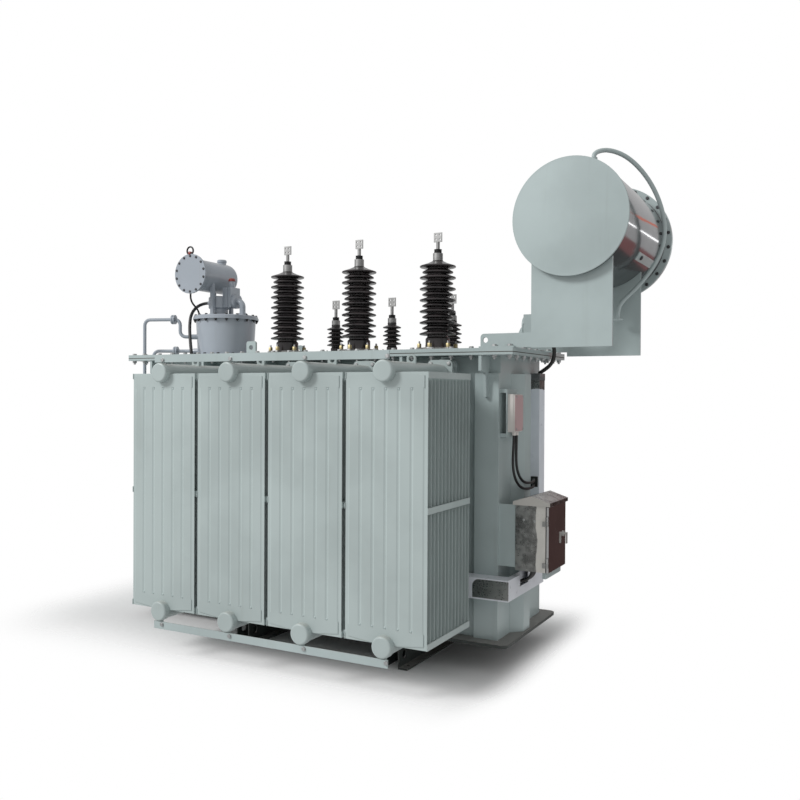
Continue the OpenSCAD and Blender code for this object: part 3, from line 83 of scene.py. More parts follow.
# The studio: a soft sky that the camera sees as white, a broad lamp at the upper left of the front,
# a pale floor that fades into the white around it, and a stack of cards that only polished metal mirrors.
class Shade:
    """One output of a tree of shader nodes; arithmetic on it adds Math nodes, node() adds any other kind."""

    def __init__(self, tree, out=None):
        self.tree, self.out = tree, out

    def node(self, kind, settings=None, links=None, out=0):
        """A node of the kind, with its settings made first and then the values or links of its sockets."""
        made = self.tree.nodes.new("ShaderNode" + kind)
        for key, value in (settings or {}).items():
            setattr(made, key, value)
        for key, value in (links or {}).items():
            if isinstance(value, Shade):
                self.tree.links.new(value.out, made.inputs[key])
            else:
                made.inputs[key].default_value = value
        return Shade(self.tree, made.outputs[out] if len(made.outputs) else None)

    def math(self, operation, *values):
        return self.node("Math", {"operation": operation}, dict(enumerate(values)))

    def __add__(self, other):
        return self.math("ADD", self, other)

    __radd__ = __add__

    def __sub__(self, other):
        return self.math("SUBTRACT", self, other)

    def __rsub__(self, other):
        return self.math("SUBTRACT", other, self)

    def __mul__(self, other):
        return self.math("MULTIPLY", self, other)

    __rmul__ = __mul__

    def __pow__(self, other):
        return self.math("POWER", self, other)

    def rise(self, low, high):
        """0 below low, 1 above high and smooth between."""
        return self.node("MapRange", {"interpolation_type": "SMOOTHERSTEP"},
                         {"Value": self, "From Min": low, "From Max": high})

    def along(self, axis, of="Object"):
        """The X, Y or Z of the place on the object, or of the surface's normal."""
        return self.node("SeparateXYZ", None, {0: self.node("TexCoord", out=of)}, out=axis)

    def noise(self, scale, detail=3.0, rough=0.5, stretch=None):
        """Cloudy noise on object coordinates, with the pattern stretched by the three factors."""
        place = self.node("TexCoord", out="Object")
        if stretch:
            place = self.node("Mapping", None, {"Vector": place, "Scale": stretch})
        return self.node("TexNoise", None,
                         {"Vector": place, "Scale": scale, "Detail": detail, "Roughness": rough})

    def mix(self, factor, low, high):
        """The colour low where the factor is 0, and high where it is 1."""
        return self.node("Mix", {"data_type": "RGBA"}, {0: factor, 6: low, 7: high}, out=2)

    def soft_edges(self, radius, samples=4):
        """The normal of a surface whose edges have this radius."""
        return self.node("Bevel", {"samples": samples}, {"Radius": radius})

    def bump(self, height, strength, distance, normal=None):
        """The normal, stirred by the height."""
        links = {"Strength": strength, "Distance": distance, "Height": height}
        return self.node("Bump", None, {**links, "Normal": normal} if normal else links)

    def surface(self, **sockets):
        """A Principled surface; a socket's name is given with _ for each space."""
        return self.node("BsdfPrincipled", None, {key.replace("_", " "): v for key, v in sockets.items()})

    def either(self, factor, first, second):
        """The first surface where the factor is 0, and the second where it is 1."""
        return self.node("MixShader", None, {0: factor, 1: first, 2: second})


sky = bpy.data.worlds.new("sky")
bpy.context.scene.world = sky
sky.use_nodes = True
sky.node_tree.nodes.clear()
rays = Shade(sky.node_tree)
seen = rays.node("LightPath", out="Is Camera Ray")
sky_fill = 0.60
glow = rays.node("Background", None,
                 {"Color": (1.0, 1.0, 1.0, 1.0), "Strength": seen * (1 - sky_fill) + sky_fill})
rays.node("OutputWorld", None, {"Surface": glow})

lamp_from = np.array([-0.47, -0.66, 0.59])
lamp_aim = np.array([-0.3, -0.4, 1.4])
lamp_distance = 16.0
lamp_side = np.cross(upright, lamp_from)
lamp = bpy.data.lights.new("lamp", "AREA")
lamp.shape, lamp.size, lamp.energy = "DISK", 4.8, 1560.0
lamp_object = shown("lamp", lamp)
lamp_object.location = (lamp_aim + unit(lamp_from) * lamp_distance).tolist()
lamp_object.rotation_mode = "QUATERNION"
lamp_object.rotation_quaternion = Matrix(np.column_stack(
    [unit(lamp_side), unit(np.cross(lamp_from, lamp_side)), unit(lamp_from)]).tolist()).to_quaternion()

floor_reach = 14.0
floor_corners = floor_reach * np.array([(-1, -1, 0), (1, -1, 0), (1, 1, 0), (-1, 1, 0)])
floor_mesh = bpy.data.meshes.new("floor")
floor_mesh.from_pydata(floor_corners.tolist(), [], [(0, 1, 2, 3)])
floor = shown("floor", floor_mesh)


def finish_of(name, build):
    """A material whose surface is what build returns for the tree."""
    material = bpy.data.materials.new(name)
    material.use_nodes = True
    material.node_tree.nodes.clear()
    tree = Shade(material.node_tree)
    tree.node("OutputMaterial", None, {"Surface": build(tree)})
    return material


def pale_floor(s):
    """Pale matt floor under the object; it thins out a little beyond the footprint, so no horizon shows."""
    right_edge, left_edge, half_depth = 1.15, -1.95, 0.45
    right_thinning, left_thinning, fade = 3.3, 1.1, 1.15
    right = s.math("MAXIMUM", s.along("X") - right_edge, 0.0) * right_thinning
    left = s.math("MAXIMUM", left_edge - s.along("X"), 0.0) * left_thinning
    away = s.math("MAXIMUM", s.math("ABSOLUTE", s.along("Y")) - half_depth, 0.0)
    far = ((right + left) ** 2 + away ** 2) ** 0.5
    matt = s.node("BsdfDiffuse", None, {"Color": (0.75, 0.75, 0.75, 1.0)})
    return s.either(far.rise(0.0, fade), matt, s.node("BsdfTransparent"))


floor_mesh.materials.append(finish_of("pale_floor", pale_floor))


def mirrored_card(name, low, high, colour):
    """A coloured card, upright behind the right end, that shows only in polished faces."""
    left, right = (0.6, 4.0), (5.2, 2.6)
    mesh = bpy.data.meshes.new(name)
    mesh.from_pydata([(*left, low), (*right, low), (*right, high), (*left, high)], [], [(0, 1, 2, 3)])
    mesh.materials.append(finish_of(
        name, lambda s: s.node("Emission", None, {"Color": colour, "Strength": 1.0})))
    card = shown(name, mesh)
    card.visible_camera = card.visible_diffuse = card.visible_shadow = False


mirrored_card("red_card", -0.6, 1.1, (0.082, 0.050, 0.047, 1.0))
mirrored_card("dark_card", 1.1, 1.9, (0.10, 0.11, 0.11, 1.0))
mirrored_card("rose_card", 1.9, 2.45, (0.34, 0.17, 0.17, 1.0))
mirrored_card("white_card", 3.03, 3.08, (4.2, 4.2, 4.2, 1.0))
mirrored_card("orange_card", 3.51, 3.58, (0.90, 0.30, 0.22, 1.0))


# The enamel on the tank, radiators, cover and brackets: sprayed grey-green alkyd paint over primer.
# It is semi-gloss with a fine orange peel, and workshop dust lies on what looks up.
def tint(colour, factor=1.0):
    """The colour times a factor, at most white, with its alpha."""
    return tuple(min(1.0, c * factor) for c in colour) + (1.0,)


def enamel(colour, rough=0.34, dust=0.45, gloss=0.12, painted_light=None):
    """Paint whose tone drifts with slow noise, with dust on upward faces, faint runs and soft edges.

    Where painted_light, if given, is 1 for the place, the colour is painted paler: a painted highlight that
    lifts the shade in hollows.
    """
    run_stain, dust_grey = (0.20, 0.20, 0.17, 1.0), (0.46, 0.43, 0.38, 1.0)

    def build(s):
        drift = s.noise(1.6, 4.0, 0.55)
        speck = s.noise(60.0, 3.0, 0.6)
        runs = s.noise(14.0, 3.0, 0.6, (1.0, 1.0, 0.05)).rise(0.56, 0.78)
        tone = s.mix(drift.rise(0.3, 0.7), tint(colour, 0.92), tint(colour, 1.06))
        tone = s.mix(runs * 0.10, tone, run_stain)
        # Painted highlight: a paler colour where the mask is 1, to lift the shade that falls in the
        # radiators' grooves.
        if painted_light:
            tone = s.mix(painted_light(s) * 0.44, tone, tint(colour, 1.45))
        settled = s.along("Z", "Normal").rise(0.55, 0.95) * dust * (speck * 0.6 + drift * 0.7)
        peel = s.bump(s.noise(380.0, 2.0), 0.05, 0.001, s.soft_edges(0.0022))
        return s.surface(
            Base_Color=s.mix(settled, tone, dust_grey), Normal=peel,
            Roughness=drift * 0.12 + settled * 0.35 + (rough - 0.06), Coat_Weight=gloss, Coat_Roughness=0.15)

    return build


grey_green = (0.400, 0.471, 0.470)
tank_paint = finish_of("grey_green_enamel", enamel(grey_green))


def dress(material, *names):
    """Gives CAD nodes a finish in place of their plain one."""
    for name in names:
        nodes[name].data.materials.clear()
        nodes[name].data.materials.append(material)


# The underbase: rolled channels and a thick plate, flame cut, welded and brushed with dark green-black paint.
# Dust and scuffs make its upper side brown-grey, and the cut edges are rubbed bright.
def dark_underbase(s):
    """Dark paint in two tones, bare along the edges where the grit wears it, and dusty on upward faces."""
    thin, thick = (0.050, 0.060, 0.056, 1.0), (0.020, 0.027, 0.026, 1.0)
    bare_steel, dust_brown = (0.34, 0.31, 0.28, 1.0), (0.31, 0.30, 0.285, 1.0)
    drift = s.noise(3.0, 5.0, 0.6)
    grit = s.noise(90.0, 4.0, 0.65)
    scuff = s.noise(8.0, 6.0, 0.7, (1.0, 3.0, 1.0)).rise(0.52, 0.68)
    soft = s.soft_edges(0.004, samples=6)
    flatness = s.node("VectorMath", {"operation": "DOT_PRODUCT"},
                      {0: soft, 1: s.node("NewGeometry", out="Normal")}, out="Value")
    worn = (1 - flatness).rise(0.01, 0.12) * grit.rise(0.42, 0.6)
    dusty = s.along("Z", "Normal").rise(0.5, 0.95) * (grit * 0.3 + drift * 0.4 + scuff * 0.2 + 0.35)
    tone = s.mix(worn * 0.8, s.mix(drift, thick, thin), bare_steel)
    return s.surface(Base_Color=s.mix(dusty, tone, dust_brown), Normal=s.bump(grit, 0.25, 0.001, soft),
                     Roughness=dusty * 0.3 + drift * 0.2 + 0.38)


dress(finish_of("dark_underbase_paint", dark_underbase), "skid_left", "skid_right", "base_plate")


# The tank: welded plate walls with box ribs, a flange with gussets, and a flat cover on a cork gasket.
# Zinc-plated bolts with washers hold the cover all round, heads above and nuts below.
dress(tank_paint, "tank_shell", "tank_ribs", "flange_gussets", "lifting_lugs")
gasket_z, gasket_half = 1.967, 0.0028


def gasket_line(s):
    """The enamel, with the dark edge of the cork gasket as a line at its height."""
    from_line = s.math("ABSOLUTE", s.along("Z") - gasket_z)
    cork = s.surface(Base_Color=s.mix(s.noise(300.0), (0.020, 0.014, 0.010, 1.0), (0.060, 0.042, 0.028, 1.0)),
                     Roughness=0.8)
    return s.either(1 - from_line.rise(gasket_half * 0.7, gasket_half), enamel(grey_green)(s), cork)


dress(finish_of("enamel_at_gasket", gasket_line), "tank_flange", "cover_plate")


def skin(grid):
    """Points and quads of a grid of points, whose last column is joined to its first."""
    index = np.arange(grid.shape[0] * grid.shape[1]).reshape(grid.shape[:2])
    beside = np.roll(index, -1, 1)
    quads = np.stack([index[:-1], beside[:-1], beside[1:], index[1:]], -1)
    return grid.reshape(-1, 3), quads.reshape(-1, 4)


def turned(profile, sides):
    """Turned shape: each (r, z) of the profile carried round the axis, x = r cos a, y = r sin a."""
    r, z = np.array(profile, float).T
    a = np.arange(sides) * 2 * math.pi / sides
    grid = np.stack([np.outer(r, np.cos(a)), np.outer(r, np.sin(a)), np.repeat(z[:, None], sides, 1)], -1)
    return skin(grid)


def together(*shapes):
    """Several shapes as one list of points and quads."""
    starts = np.cumsum([0] + [len(points) for points, _ in shapes[:-1]])
    return (np.concatenate([points for points, _ in shapes]),
            np.concatenate([quads + start for (_, quads), start in zip(shapes, starts)]))


def placed(shape, places, axis=(0, 0, 1)):
    """A copy of the shape at each place, with the shape's own z turned to the axis."""
    w = unit(axis)
    u = unit(np.cross([0.0, 1.0, 0.0] if abs(w[1]) < 0.9 else [1.0, 0.0, 0.0], w))
    points = shape[0] @ np.array([u, np.cross(w, u), w])
    places = np.array(places, float).reshape(-1, 3)
    return ((places[:, None] + points).reshape(-1, 3),
            (shape[1] + (np.arange(len(places)) * len(points))[:, None, None]).reshape(-1, 4))


def piece(name, shape, material, smooth=40.0):
    """Makes the shape a mesh on the fixed body, with seams and poles closed and all faces outwards."""
    same_point, no_edge = 2e-6, 1e-7
    mesh = bpy.data.meshes.new(name)
    mesh.from_pydata(shape[0].tolist(), [], shape[1].tolist())
    work = bmesh.new()
    work.from_mesh(mesh)
    bmesh.ops.remove_doubles(work, verts=work.verts, dist=same_point)
    bmesh.ops.dissolve_degenerate(work, edges=work.edges, dist=no_edge)
    bmesh.ops.recalc_face_normals(work, faces=work.faces)
    work.to_mesh(mesh)
    work.free()
    mesh.materials.append(material)
    mesh.shade_smooth()
    mesh.set_sharp_from_angle(angle=math.radians(smooth))
    made = shown(name, mesh)
    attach(made, "transformer")
    return made


def plated(colour, rough):
    """Zinc or tin plating: a metal with a cloudy bloom and fine scratches."""
    def build(s):
        bloom = s.noise(45.0, 4.0, 0.6)
        scratch = s.noise(260.0, 2.0, 0.5, (1.0, 1.0, 0.15))
        return s.surface(
            Base_Color=s.mix(bloom.rise(0.35, 0.7), tint(colour, 0.82), tint(colour)), Metallic=1.0,
            Roughness=bloom * 0.2 + scratch * 0.1 + rough,
            Normal=s.bump(scratch, 0.12, 0.0005, s.soft_edges(0.0008)))

    return build


zinc = finish_of("zinc_plate", plated((0.52, 0.53, 0.53), 0.30))


def washer(d):
    """Flat washer of a bolt of diameter d, standing on z = 0."""
    return turned([(0, 0), (1.05 * d, 0), (1.05 * d, 0.16 * d), (0.5 * d, 0.16 * d)], 12)


def bolt_head(d):
    """Washer and domed hexagon head of a bolt of diameter d."""
    head = turned([(1.0 * d, 0.16 * d), (1.0 * d, 0.62 * d), (0.86 * d, 0.76 * d), (0, 0.80 * d)], 6)
    return together(washer(d), head)


def nut_and_end(d, out=0.7):
    """Washer, hexagon nut and the threaded end that stands out of it."""
    nut = turned([(1.0 * d, 0.16 * d), (1.0 * d, 0.92 * d), (0.86 * d, 1.02 * d), (0.5 * d, 1.02 * d)], 6)
    end = turned([(0.5 * d, 0.9 * d), (0.5 * d, (0.95 + out) * d), (0.4 * d, (1.02 + out) * d),
                  (0, (1.02 + out) * d)], 8)
    return together(washer(d), nut, end)


flange_bolt, bolt_inset = 0.016, 0.032
flange_low, flange_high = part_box("tank_flange")
cover_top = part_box("cover_plate")[1].z
left_x, right_x = flange_low.x + bolt_inset, flange_high.x - bolt_inset
front_y, rear_y = flange_low.y + bolt_inset, flange_high.y - bolt_inset
gusset_x = np.array([-1.600, -1.098, -0.552, -0.006, 0.540, 1.087])
beside_first, beside_last = -1.690, 1.170
quarter_steps = (np.arange(4) + 0.5) / 4
between = (gusset_x[:-1, None] + np.diff(gusset_x)[:, None] * quarter_steps).ravel()
long_row = np.concatenate([[left_x, beside_first], between, [beside_last, right_x]])
end_row = np.linspace(front_y, rear_y, 9)[1:-1]
bolt_places = np.array([(x, y, 0.0) for x in long_row for y in (front_y, rear_y)]
                       + [(x, y, 0.0) for y in end_row for x in (left_x, right_x)])
arm_foot, arm_from, arm_y, arm_half = 0.010, 1.06, (-0.470, 0.255), 0.05
on_arm = ((bolt_places[:, 0] > arm_from)
          & (np.abs(bolt_places[:, 1, None] - np.array(arm_y)) < arm_half).any(1))
above, below = bolt_places.copy(), bolt_places.copy()
above[:, 2] = cover_top + arm_foot * on_arm
below[:, 2] = flange_low.z
piece("cover_bolts", together(placed(bolt_head(flange_bolt), above),
                              placed(nut_and_end(flange_bolt), below, (0, 0, -1))), zinc)


# The radiators: panels pressed from thin sheet with upright flutes, seam welded, on two header pipes each.
# Square flanges with four bolts carry them on butterfly valves, and flat tie bars join their end caps.
radiators = [f"radiator_front_{k}" for k in (1, 2, 3, 4)] + [f"radiator_rear_{k}" for k in (1, 2, 3)]
panel_face, groove_depth = 1.205, 0.0045
panel_grey = (0.398, 0.462, 0.456)


def outer_grooves(s):
    """Where the enamel gets painted highlight: 1 on the sides of the grooves in the outermost panels, less on
    their floor, and 0 on the flutes.
    """
    depth = panel_face - s.math("ABSOLUTE", s.along("Y"))
    sides = depth.rise(0.0004, 0.0020) * (1 - depth.rise(0.0036, 0.0046) * 0.75)
    return sides * (1 - depth.rise(0.0065, 0.0070))


# The sides of the outer panels' grooves get painted highlight: paler enamel that lifts their shade.
radiator_paint = finish_of("radiator_enamel", enamel(panel_grey, rough=0.38, dust=0.5, painted_light=outer_grooves))
dress(radiator_paint, *radiators)
dress(tank_paint, "valves_front", "valves_rear", "tie_bars_front", "tie_bars_rear")

header_x = np.array([-0.825, -0.279, 0.267, 0.813])
header_z = np.array([1.837, 0.305])
radiator_rows = ((-1, header_x), (1, header_x[:3]))


def on_radiators(shape, spots, axis_up=False):
    """The shape at the spots (aside, out, up) of each radiator, front and rear, its axis outwards or up."""
    return together(*[
        placed(shape, [(x + aside, side * out, up) for x in row for aside, out, up in spots],
               (0, 0, 1) if axis_up else (0, side, 0))
        for side, row in radiator_rows])


tie_bolt, tie_aside, tie_lift = 0.013, 0.030, 0.080
tie_face = -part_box("tie_bars_front")[0].y
piece("tie_bar_bolts", on_radiators(bolt_head(tie_bolt), [
    (tie_aside, tie_face, z) for z in (header_z[0] + tie_lift, header_z[1] - tie_lift)]), zinc)

pipe_bolt, flange_corner, flange_face = 0.013, 0.062, 0.506
piece("pipe_flange_bolts", on_radiators(bolt_head(pipe_bolt), [
    (i * flange_corner, flange_face, z + k * flange_corner)
    for z in header_z for i in (-1, 1) for k in (-1, 1)]), zinc)


def pressed_block(half, power=0.28, rows=8, columns=16):
    """Block with round edges, a superellipsoid: x = a c(u) c(v), y = b c(u) s(v), z = h s(u).

    c and s are the cosine and the sine, raised to the power with their sign kept.
    """
    def signed(w):
        return np.sign(w) * np.abs(w) ** power

    u = np.linspace(-math.pi / 2, math.pi / 2, rows)[:, None]
    v = np.arange(columns)[None] * 2 * math.pi / columns + math.pi / columns
    grid = np.stack([signed(np.cos(u)) * signed(np.cos(v)), signed(np.cos(u)) * signed(np.sin(v)),
                     signed(np.sin(u)) * np.ones_like(v)], -1)
    return skin(grid * np.array(half))


valve_y, valve_top = 0.465, 0.072
spindle = turned([(0, 0), (0.021, 0), (0.021, 0.018), (0.012, 0.020), (0.012, 0.034), (0, 0.034)], 16)
lever = placed(pressed_block((0.046, 0.009, 0.004)), (0.034, 0.0, 0.028))
piece("valve_levers", on_radiators(together(spindle, lever), [
    (0.0, valve_y, z + valve_top) for z in header_z], axis_up=True), tank_paint)

groove_x = (np.arange(5) - 2) * 0.08133
weld_z = (0.406, 1.736)
dimple = turned([(0.0075, 0.0), (0.0066, 0.0022), (0.004, 0.0038), (0, 0.0044)], 10)
piece("panel_spot_welds", on_radiators(dimple, [
    (x, panel_face - groove_depth, z) for x in groove_x for z in weld_z]), tank_paint)
link_x, link_z, link_back = (-0.552, -0.006, 0.540), (0.345, 1.071, 1.797), 0.02
link = pressed_block((0.0115, 0.003, 0.011))
piece("radiator_links", placed(link, [
    (x, -panel_face + link_back, z) for x in link_x for z in link_z]), tank_paint)


# The bushings: fired porcelain with a dark brown glaze, set in tinned clamp rings on the cover.
# Dogs with studs and brass nuts hold the rings, and flag terminals of tinned brass stand on top.
def glazed(s):
    """Brown glaze: near black, with a slow change of tone and a hard gloss."""
    drift = s.noise(9.0, 3.0, 0.5)
    tone = s.mix(drift.rise(0.35, 0.7), (0.021, 0.018, 0.019, 1.0), (0.045, 0.037, 0.038, 1.0))
    return s.surface(Base_Color=tone, Roughness=drift * 0.1 + 0.20, Specular_IOR_Level=0.45,
                     Normal=s.bump(s.noise(30.0, 2.0), 0.06, 0.002), Coat_Weight=0.25, Coat_Roughness=0.08)


dress(finish_of("brown_glaze", glazed), *[f"{kind}_bushing_{k}" for kind in ("hv", "lv") for k in (1, 2, 3)])
tin = finish_of("tinned_brass", plated((0.40, 0.40, 0.395), 0.40))
dress(tin, "hv_clamp_rings", "lv_clamp_rings", "hv_terminals", "lv_terminals")
brass = finish_of("brass", plated((0.46, 0.39, 0.22), 0.34))


def clamp_set(name, centres, ring_r, count, size):
    """Dogs on a clamp ring's rim, each with a stud; the nuts are a piece of their own, as they are brass."""
    dog = pressed_block((1.1 * size, 0.75 * size, 0.55 * size))
    stud = turned([(0, 0), (0.30 * size, 0), (0.30 * size, 2.9 * size), (0.22 * size, 3.0 * size),
                   (0, 3.0 * size)], 8)
    nut = turned([(0, 1.1 * size), (0.70 * size, 1.1 * size), (0.70 * size, 2.1 * size),
                  (0.58 * size, 2.3 * size), (0.3 * size, 2.3 * size)], 6)
    spots, dogs = [], []
    for angle in (np.arange(count) + 0.5) * 2 * math.pi / count:
        out = np.array([math.cos(angle), math.sin(angle), 0.0])
        turn = np.array([out, [-out[1], out[0], 0.0], upright])
        spots.extend(centres + out * (ring_r + 0.25 * size))
        seats = centres + out * (ring_r + 0.1 * size) + [0.0, 0.0, 0.55 * size]
        dogs.append(placed((dog[0] @ turn, dog[1]), seats))
    piece(name + "_dogs", together(*dogs, placed(stud, spots)), tin)
    piece(name + "_brass_nuts", placed(nut, spots), brass)


hv_centres = np.array([(x, -0.205, cover_top) for x in (-0.563, 0.045, 0.653)])
lv_centres = np.array([(x, 0.280, cover_top) for x in (-0.450, 0.045, 0.540)])
clamp_set("hv_clamp", hv_centres, ring_r=0.116, count=6, size=0.022)
clamp_set("lv_clamp", lv_centres, ring_r=0.066, count=4, size=0.016)


def rubber_sheath(s):
    """Black rubber with a soft sheen and a little dust."""
    drift = s.noise(40.0, 3.0)
    return s.surface(Base_Color=s.mix(drift, (0.008, 0.008, 0.008, 1.0), (0.024, 0.024, 0.024, 1.0)),
                     Roughness=drift * 0.2 + 0.38, Normal=s.bump(s.noise(220.0), 0.1, 0.0005))


sheath = finish_of("black_sheath", rubber_sheath)


def seal_rings(name, centres, neck_r, neck_h, cap_top, nut_h, nut_r=0.0245):
    """Rubber collar under a bushing's cap, and the grooved ring that covers the nut above it.

    The ring's radius is that of the nut plus a cosine of four waves over its height.
    """
    collar = turned([(neck_r, -neck_h), (neck_r + 0.006, -neck_h), (neck_r + 0.008, -0.3 * neck_h),
                     (neck_r + 0.006, -0.001), (neck_r - 0.004, -0.001)], 32)
    waves = [(nut_r + 0.002 * math.cos(8 * math.pi * w), cap_top + w * nut_h) for w in np.linspace(0, 1, 13)]
    ring = turned([(0.6 * nut_r, cap_top)] + waves + [(0.6 * nut_r, cap_top + nut_h)], 32)
    piece(name, placed(together(collar, ring), centres), sheath)


hv_neck, lv_neck = (0.0, 0.0, 0.602916), (0.0, 0.0, 0.24606)
seal_rings("hv_seals", hv_centres + hv_neck, neck_r=0.030, neck_h=0.018, cap_top=0.048, nut_h=0.026)
seal_rings("lv_seals", lv_centres + lv_neck, neck_r=0.026, neck_h=0.017, cap_top=0.034, nut_h=0.024)


# The tap changer: a cast drum on the cover, with bolted head, gear head, flow relay and small conservator.
# It comes in its own blue-grey enamel, a little smoother than the tank's, with bolts of blued steel.
blue_grey = (0.355, 0.395, 0.442)
tap_paint = finish_of("blue_grey_enamel", enamel(blue_grey, rough=0.28, dust=0.25, gloss=0.3))
dress(tap_paint, "tap_drum", "tap_head_cover", "tap_gear_head", "tap_flow_relay", "tap_conservator",
      "tap_conservator_cover", "tap_conservator_legs", "tap_oil_pipes")


def ring_of(count, radius, centre, across=(0, 1)):
    """Places on a circle about a centre, in the plane of the two coordinates across its axis."""
    a = (np.arange(count) + 0.5) * 2 * math.pi / count
    places = np.tile(np.array(centre, float), (count, 1))
    places[:, across[0]] += radius * np.cos(a)
    places[:, across[1]] += radius * np.sin(a)
    return places


blued_steel = finish_of("blued_steel", plated((0.10, 0.10, 0.105), 0.38))
drum_x = -1.301
head_bolt, head_bolts, head_bolt_r, head_nut_r, head_t = 0.011, 18, 0.236, 0.243, 0.032
head_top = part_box("tap_head_cover")[1].z
piece("tap_head_bolts", together(
    placed(bolt_head(head_bolt), ring_of(head_bolts, head_bolt_r, (drum_x, 0.0, head_top))),
    placed(nut_and_end(head_bolt), ring_of(
        head_bolts, head_nut_r, (drum_x, 0.0, head_top - head_t)), (0, 0, -1))), blued_steel)
foot_bolt, foot_bolts, foot_bolt_r, foot_t = 0.012, 14, 0.252, 0.016
piece("tap_foot_bolts", placed(bolt_head(foot_bolt), ring_of(
    foot_bolts, foot_bolt_r, (drum_x, 0.0, cover_top + foot_t))), blued_steel)
small_bolt, small_bolts, small_bolt_r = 0.009, 14, 0.136
small_low, small_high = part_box("tap_conservator_cover")
small_axis = ((small_low.x + small_high.x) / 2, small_low.y, (small_low.z + small_high.z) / 2)
piece("tap_conservator_bolts", placed(bolt_head(small_bolt), ring_of(
    small_bolts, small_bolt_r, small_axis, (0, 2)), (0, -1, 0)), blued_steel)

union = turned([(0.0130, -0.014), (0.037, -0.014), (0.037, -0.002), (0.030, -0.002), (0.030, 0.002),
                (0.037, 0.002), (0.037, 0.014), (0.0130, 0.014)], 24)
high_union, high_run = (-1.679, -0.182, 2.287), (0.954, 0.301, 0.0)
low_union, low_run = (-1.737, -0.092, 2.042), (0.937, 0.349, 0.0)
unions = together(placed(union, high_union, high_run), placed(union, low_union, low_run))
piece("pipe_unions", unions, tap_paint)
filler = turned([(0, -0.006), (0.034, -0.006), (0.034, 0.012), (0.038, 0.014), (0.038, 0.030), (0.030, 0.036),
                 (0, 0.037)], 32)
filler_at = (-1.391, 0.055, small_axis[2] + 0.119)
piece("filler_cap", placed(filler, filler_at), tap_paint)
red_oxide = finish_of("red_oxide_enamel", enamel((0.26, 0.045, 0.035), rough=0.4, dust=0.2))
relay_cap = turned([(0, -0.001), (0.027, -0.001), (0.027, 0.014), (0.020, 0.022), (0, 0.024)], 24)
relay_cap_at = (-1.2035, -0.050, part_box("tap_flow_relay")[1].z)
piece("flow_relay_cap", placed(relay_cap, relay_cap_at), red_oxide)


def eye_ring(radius, thick, around=28, across=10):
    """Ring of round bar: x = (R + t cos v) cos u, y = t sin v, z = (R + t cos v) sin u."""
    u = (np.arange(around + 1) % around)[:, None] * 2 * math.pi / around
    v = np.arange(across)[None] * 2 * math.pi / across
    out = radius + thick * np.cos(v)
    return skin(np.stack([out * np.cos(u), thick * np.sin(v) * np.ones_like(u), out * np.sin(u)], -1))


eye_at = np.array(small_axis) + np.array((-0.006, 0.008, 0.176))
eye_r, eye_bar = 0.030, 0.0065
piece("level_gauge_eye", placed(eye_ring(eye_r, eye_bar), eye_at), sheath)
plug = turned([(0, -0.012), (0.013, -0.012), (0.013, 0.010), (0.009, 0.013), (0, 0.013)], 20)
plug_drop = (0.0, 0.0, -0.018)
piece("level_gauge_plug", placed(plug, eye_at + plug_drop, (0, -1, 0)), red_oxide)


# The tap changer's cables: rubber-sheathed, laid by hand from gland to cover and from gauge to head.
# Both ends go into the object; each is a round tube along a smooth line through its points.
def through(points, steps=8, passes=24):
    """Smooth line through the points: a cubic on each stretch, its slopes half the chord of the neighbours.

    Each pass then draws every inner point a quarter of the way to both neighbours, which opens tight bends.
    """
    p = np.array(points, float)
    ends = np.vstack([2 * p[0] - p[1], p, 2 * p[-1] - p[-2]])
    a, b, c, d = (ends[k:len(ends) - 3 + k, None] for k in range(4))
    t = (np.arange(steps) / steps)[None, :, None]
    line = b + 0.5 * t * (c - a + t * (2 * a - 5 * b + 4 * c - d + t * (3 * (b - c) + d - a)))
    line = np.vstack([line.reshape(-1, 3), p[-1:]])
    for _ in range(passes):
        line[1:-1] = (line[:-2] + 2 * line[1:-1] + line[2:]) / 4
    return line


def round_tube(line, d, sides=14):
    """Circle carried along a line, with its ends closed: each point plus d/2 (cos a side + sin a up).

    Side and up are at right angles to the line; side is the line's way crossed with one slanting direction.
    """
    way = np.gradient(line, axis=0)
    way /= np.linalg.norm(way, axis=1)[:, None]
    side = np.cross(way, [0.62, 0.78, 0.10])
    side /= np.linalg.norm(side, axis=1)[:, None]
    up = np.cross(way, side)
    a = np.arange(sides) * 2 * math.pi / sides
    grid = line[:, None] + d / 2 * (side[:, None] * np.cos(a)[:, None] + up[:, None] * np.sin(a)[:, None])
    first, last = np.repeat(line[:1, None], sides, 1), np.repeat(line[-1:, None], sides, 1)
    return skin(np.concatenate([first, grid, last]))


def cable(name, points, d, node=None):
    """A free cable whose two ends go into the object, in place of its plain solid."""
    line = through(points)
    made = piece(name, round_tube(line, d), sheath, smooth=60.0)
    if node:
        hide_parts(node)


gear_cable_d, gauge_cable_d = 0.024, 0.014
cable("gear_head_cable", [
    (-1.4245, -0.060, 2.418), (-1.446, -0.060, 2.418), (-1.476, -0.074, 2.412), (-1.502, -0.104, 2.392),
    (-1.512, -0.142, 2.356), (-1.508, -0.176, 2.310), (-1.496, -0.200, 2.260), (-1.480, -0.221, 2.200),
    (-1.459, -0.240, 2.140), (-1.439, -0.256, 2.080), (-1.424, -0.265, 2.030), (-1.420, -0.267, 2.008),
    (-1.420, -0.267, 1.992)], gear_cable_d, "tap_cables")
cable("gauge_cable", [
    (-1.391, -0.312, 2.467), (-1.391, -0.312, 2.440), (-1.391, -0.304, 2.412), (-1.391, -0.280, 2.385),
    (-1.391, -0.250, 2.365), (-1.391, -0.226, 2.344), (-1.391, -0.215, 2.322), (-1.391, -0.215, 2.312)],
    gauge_cable_d, "tap_cables")


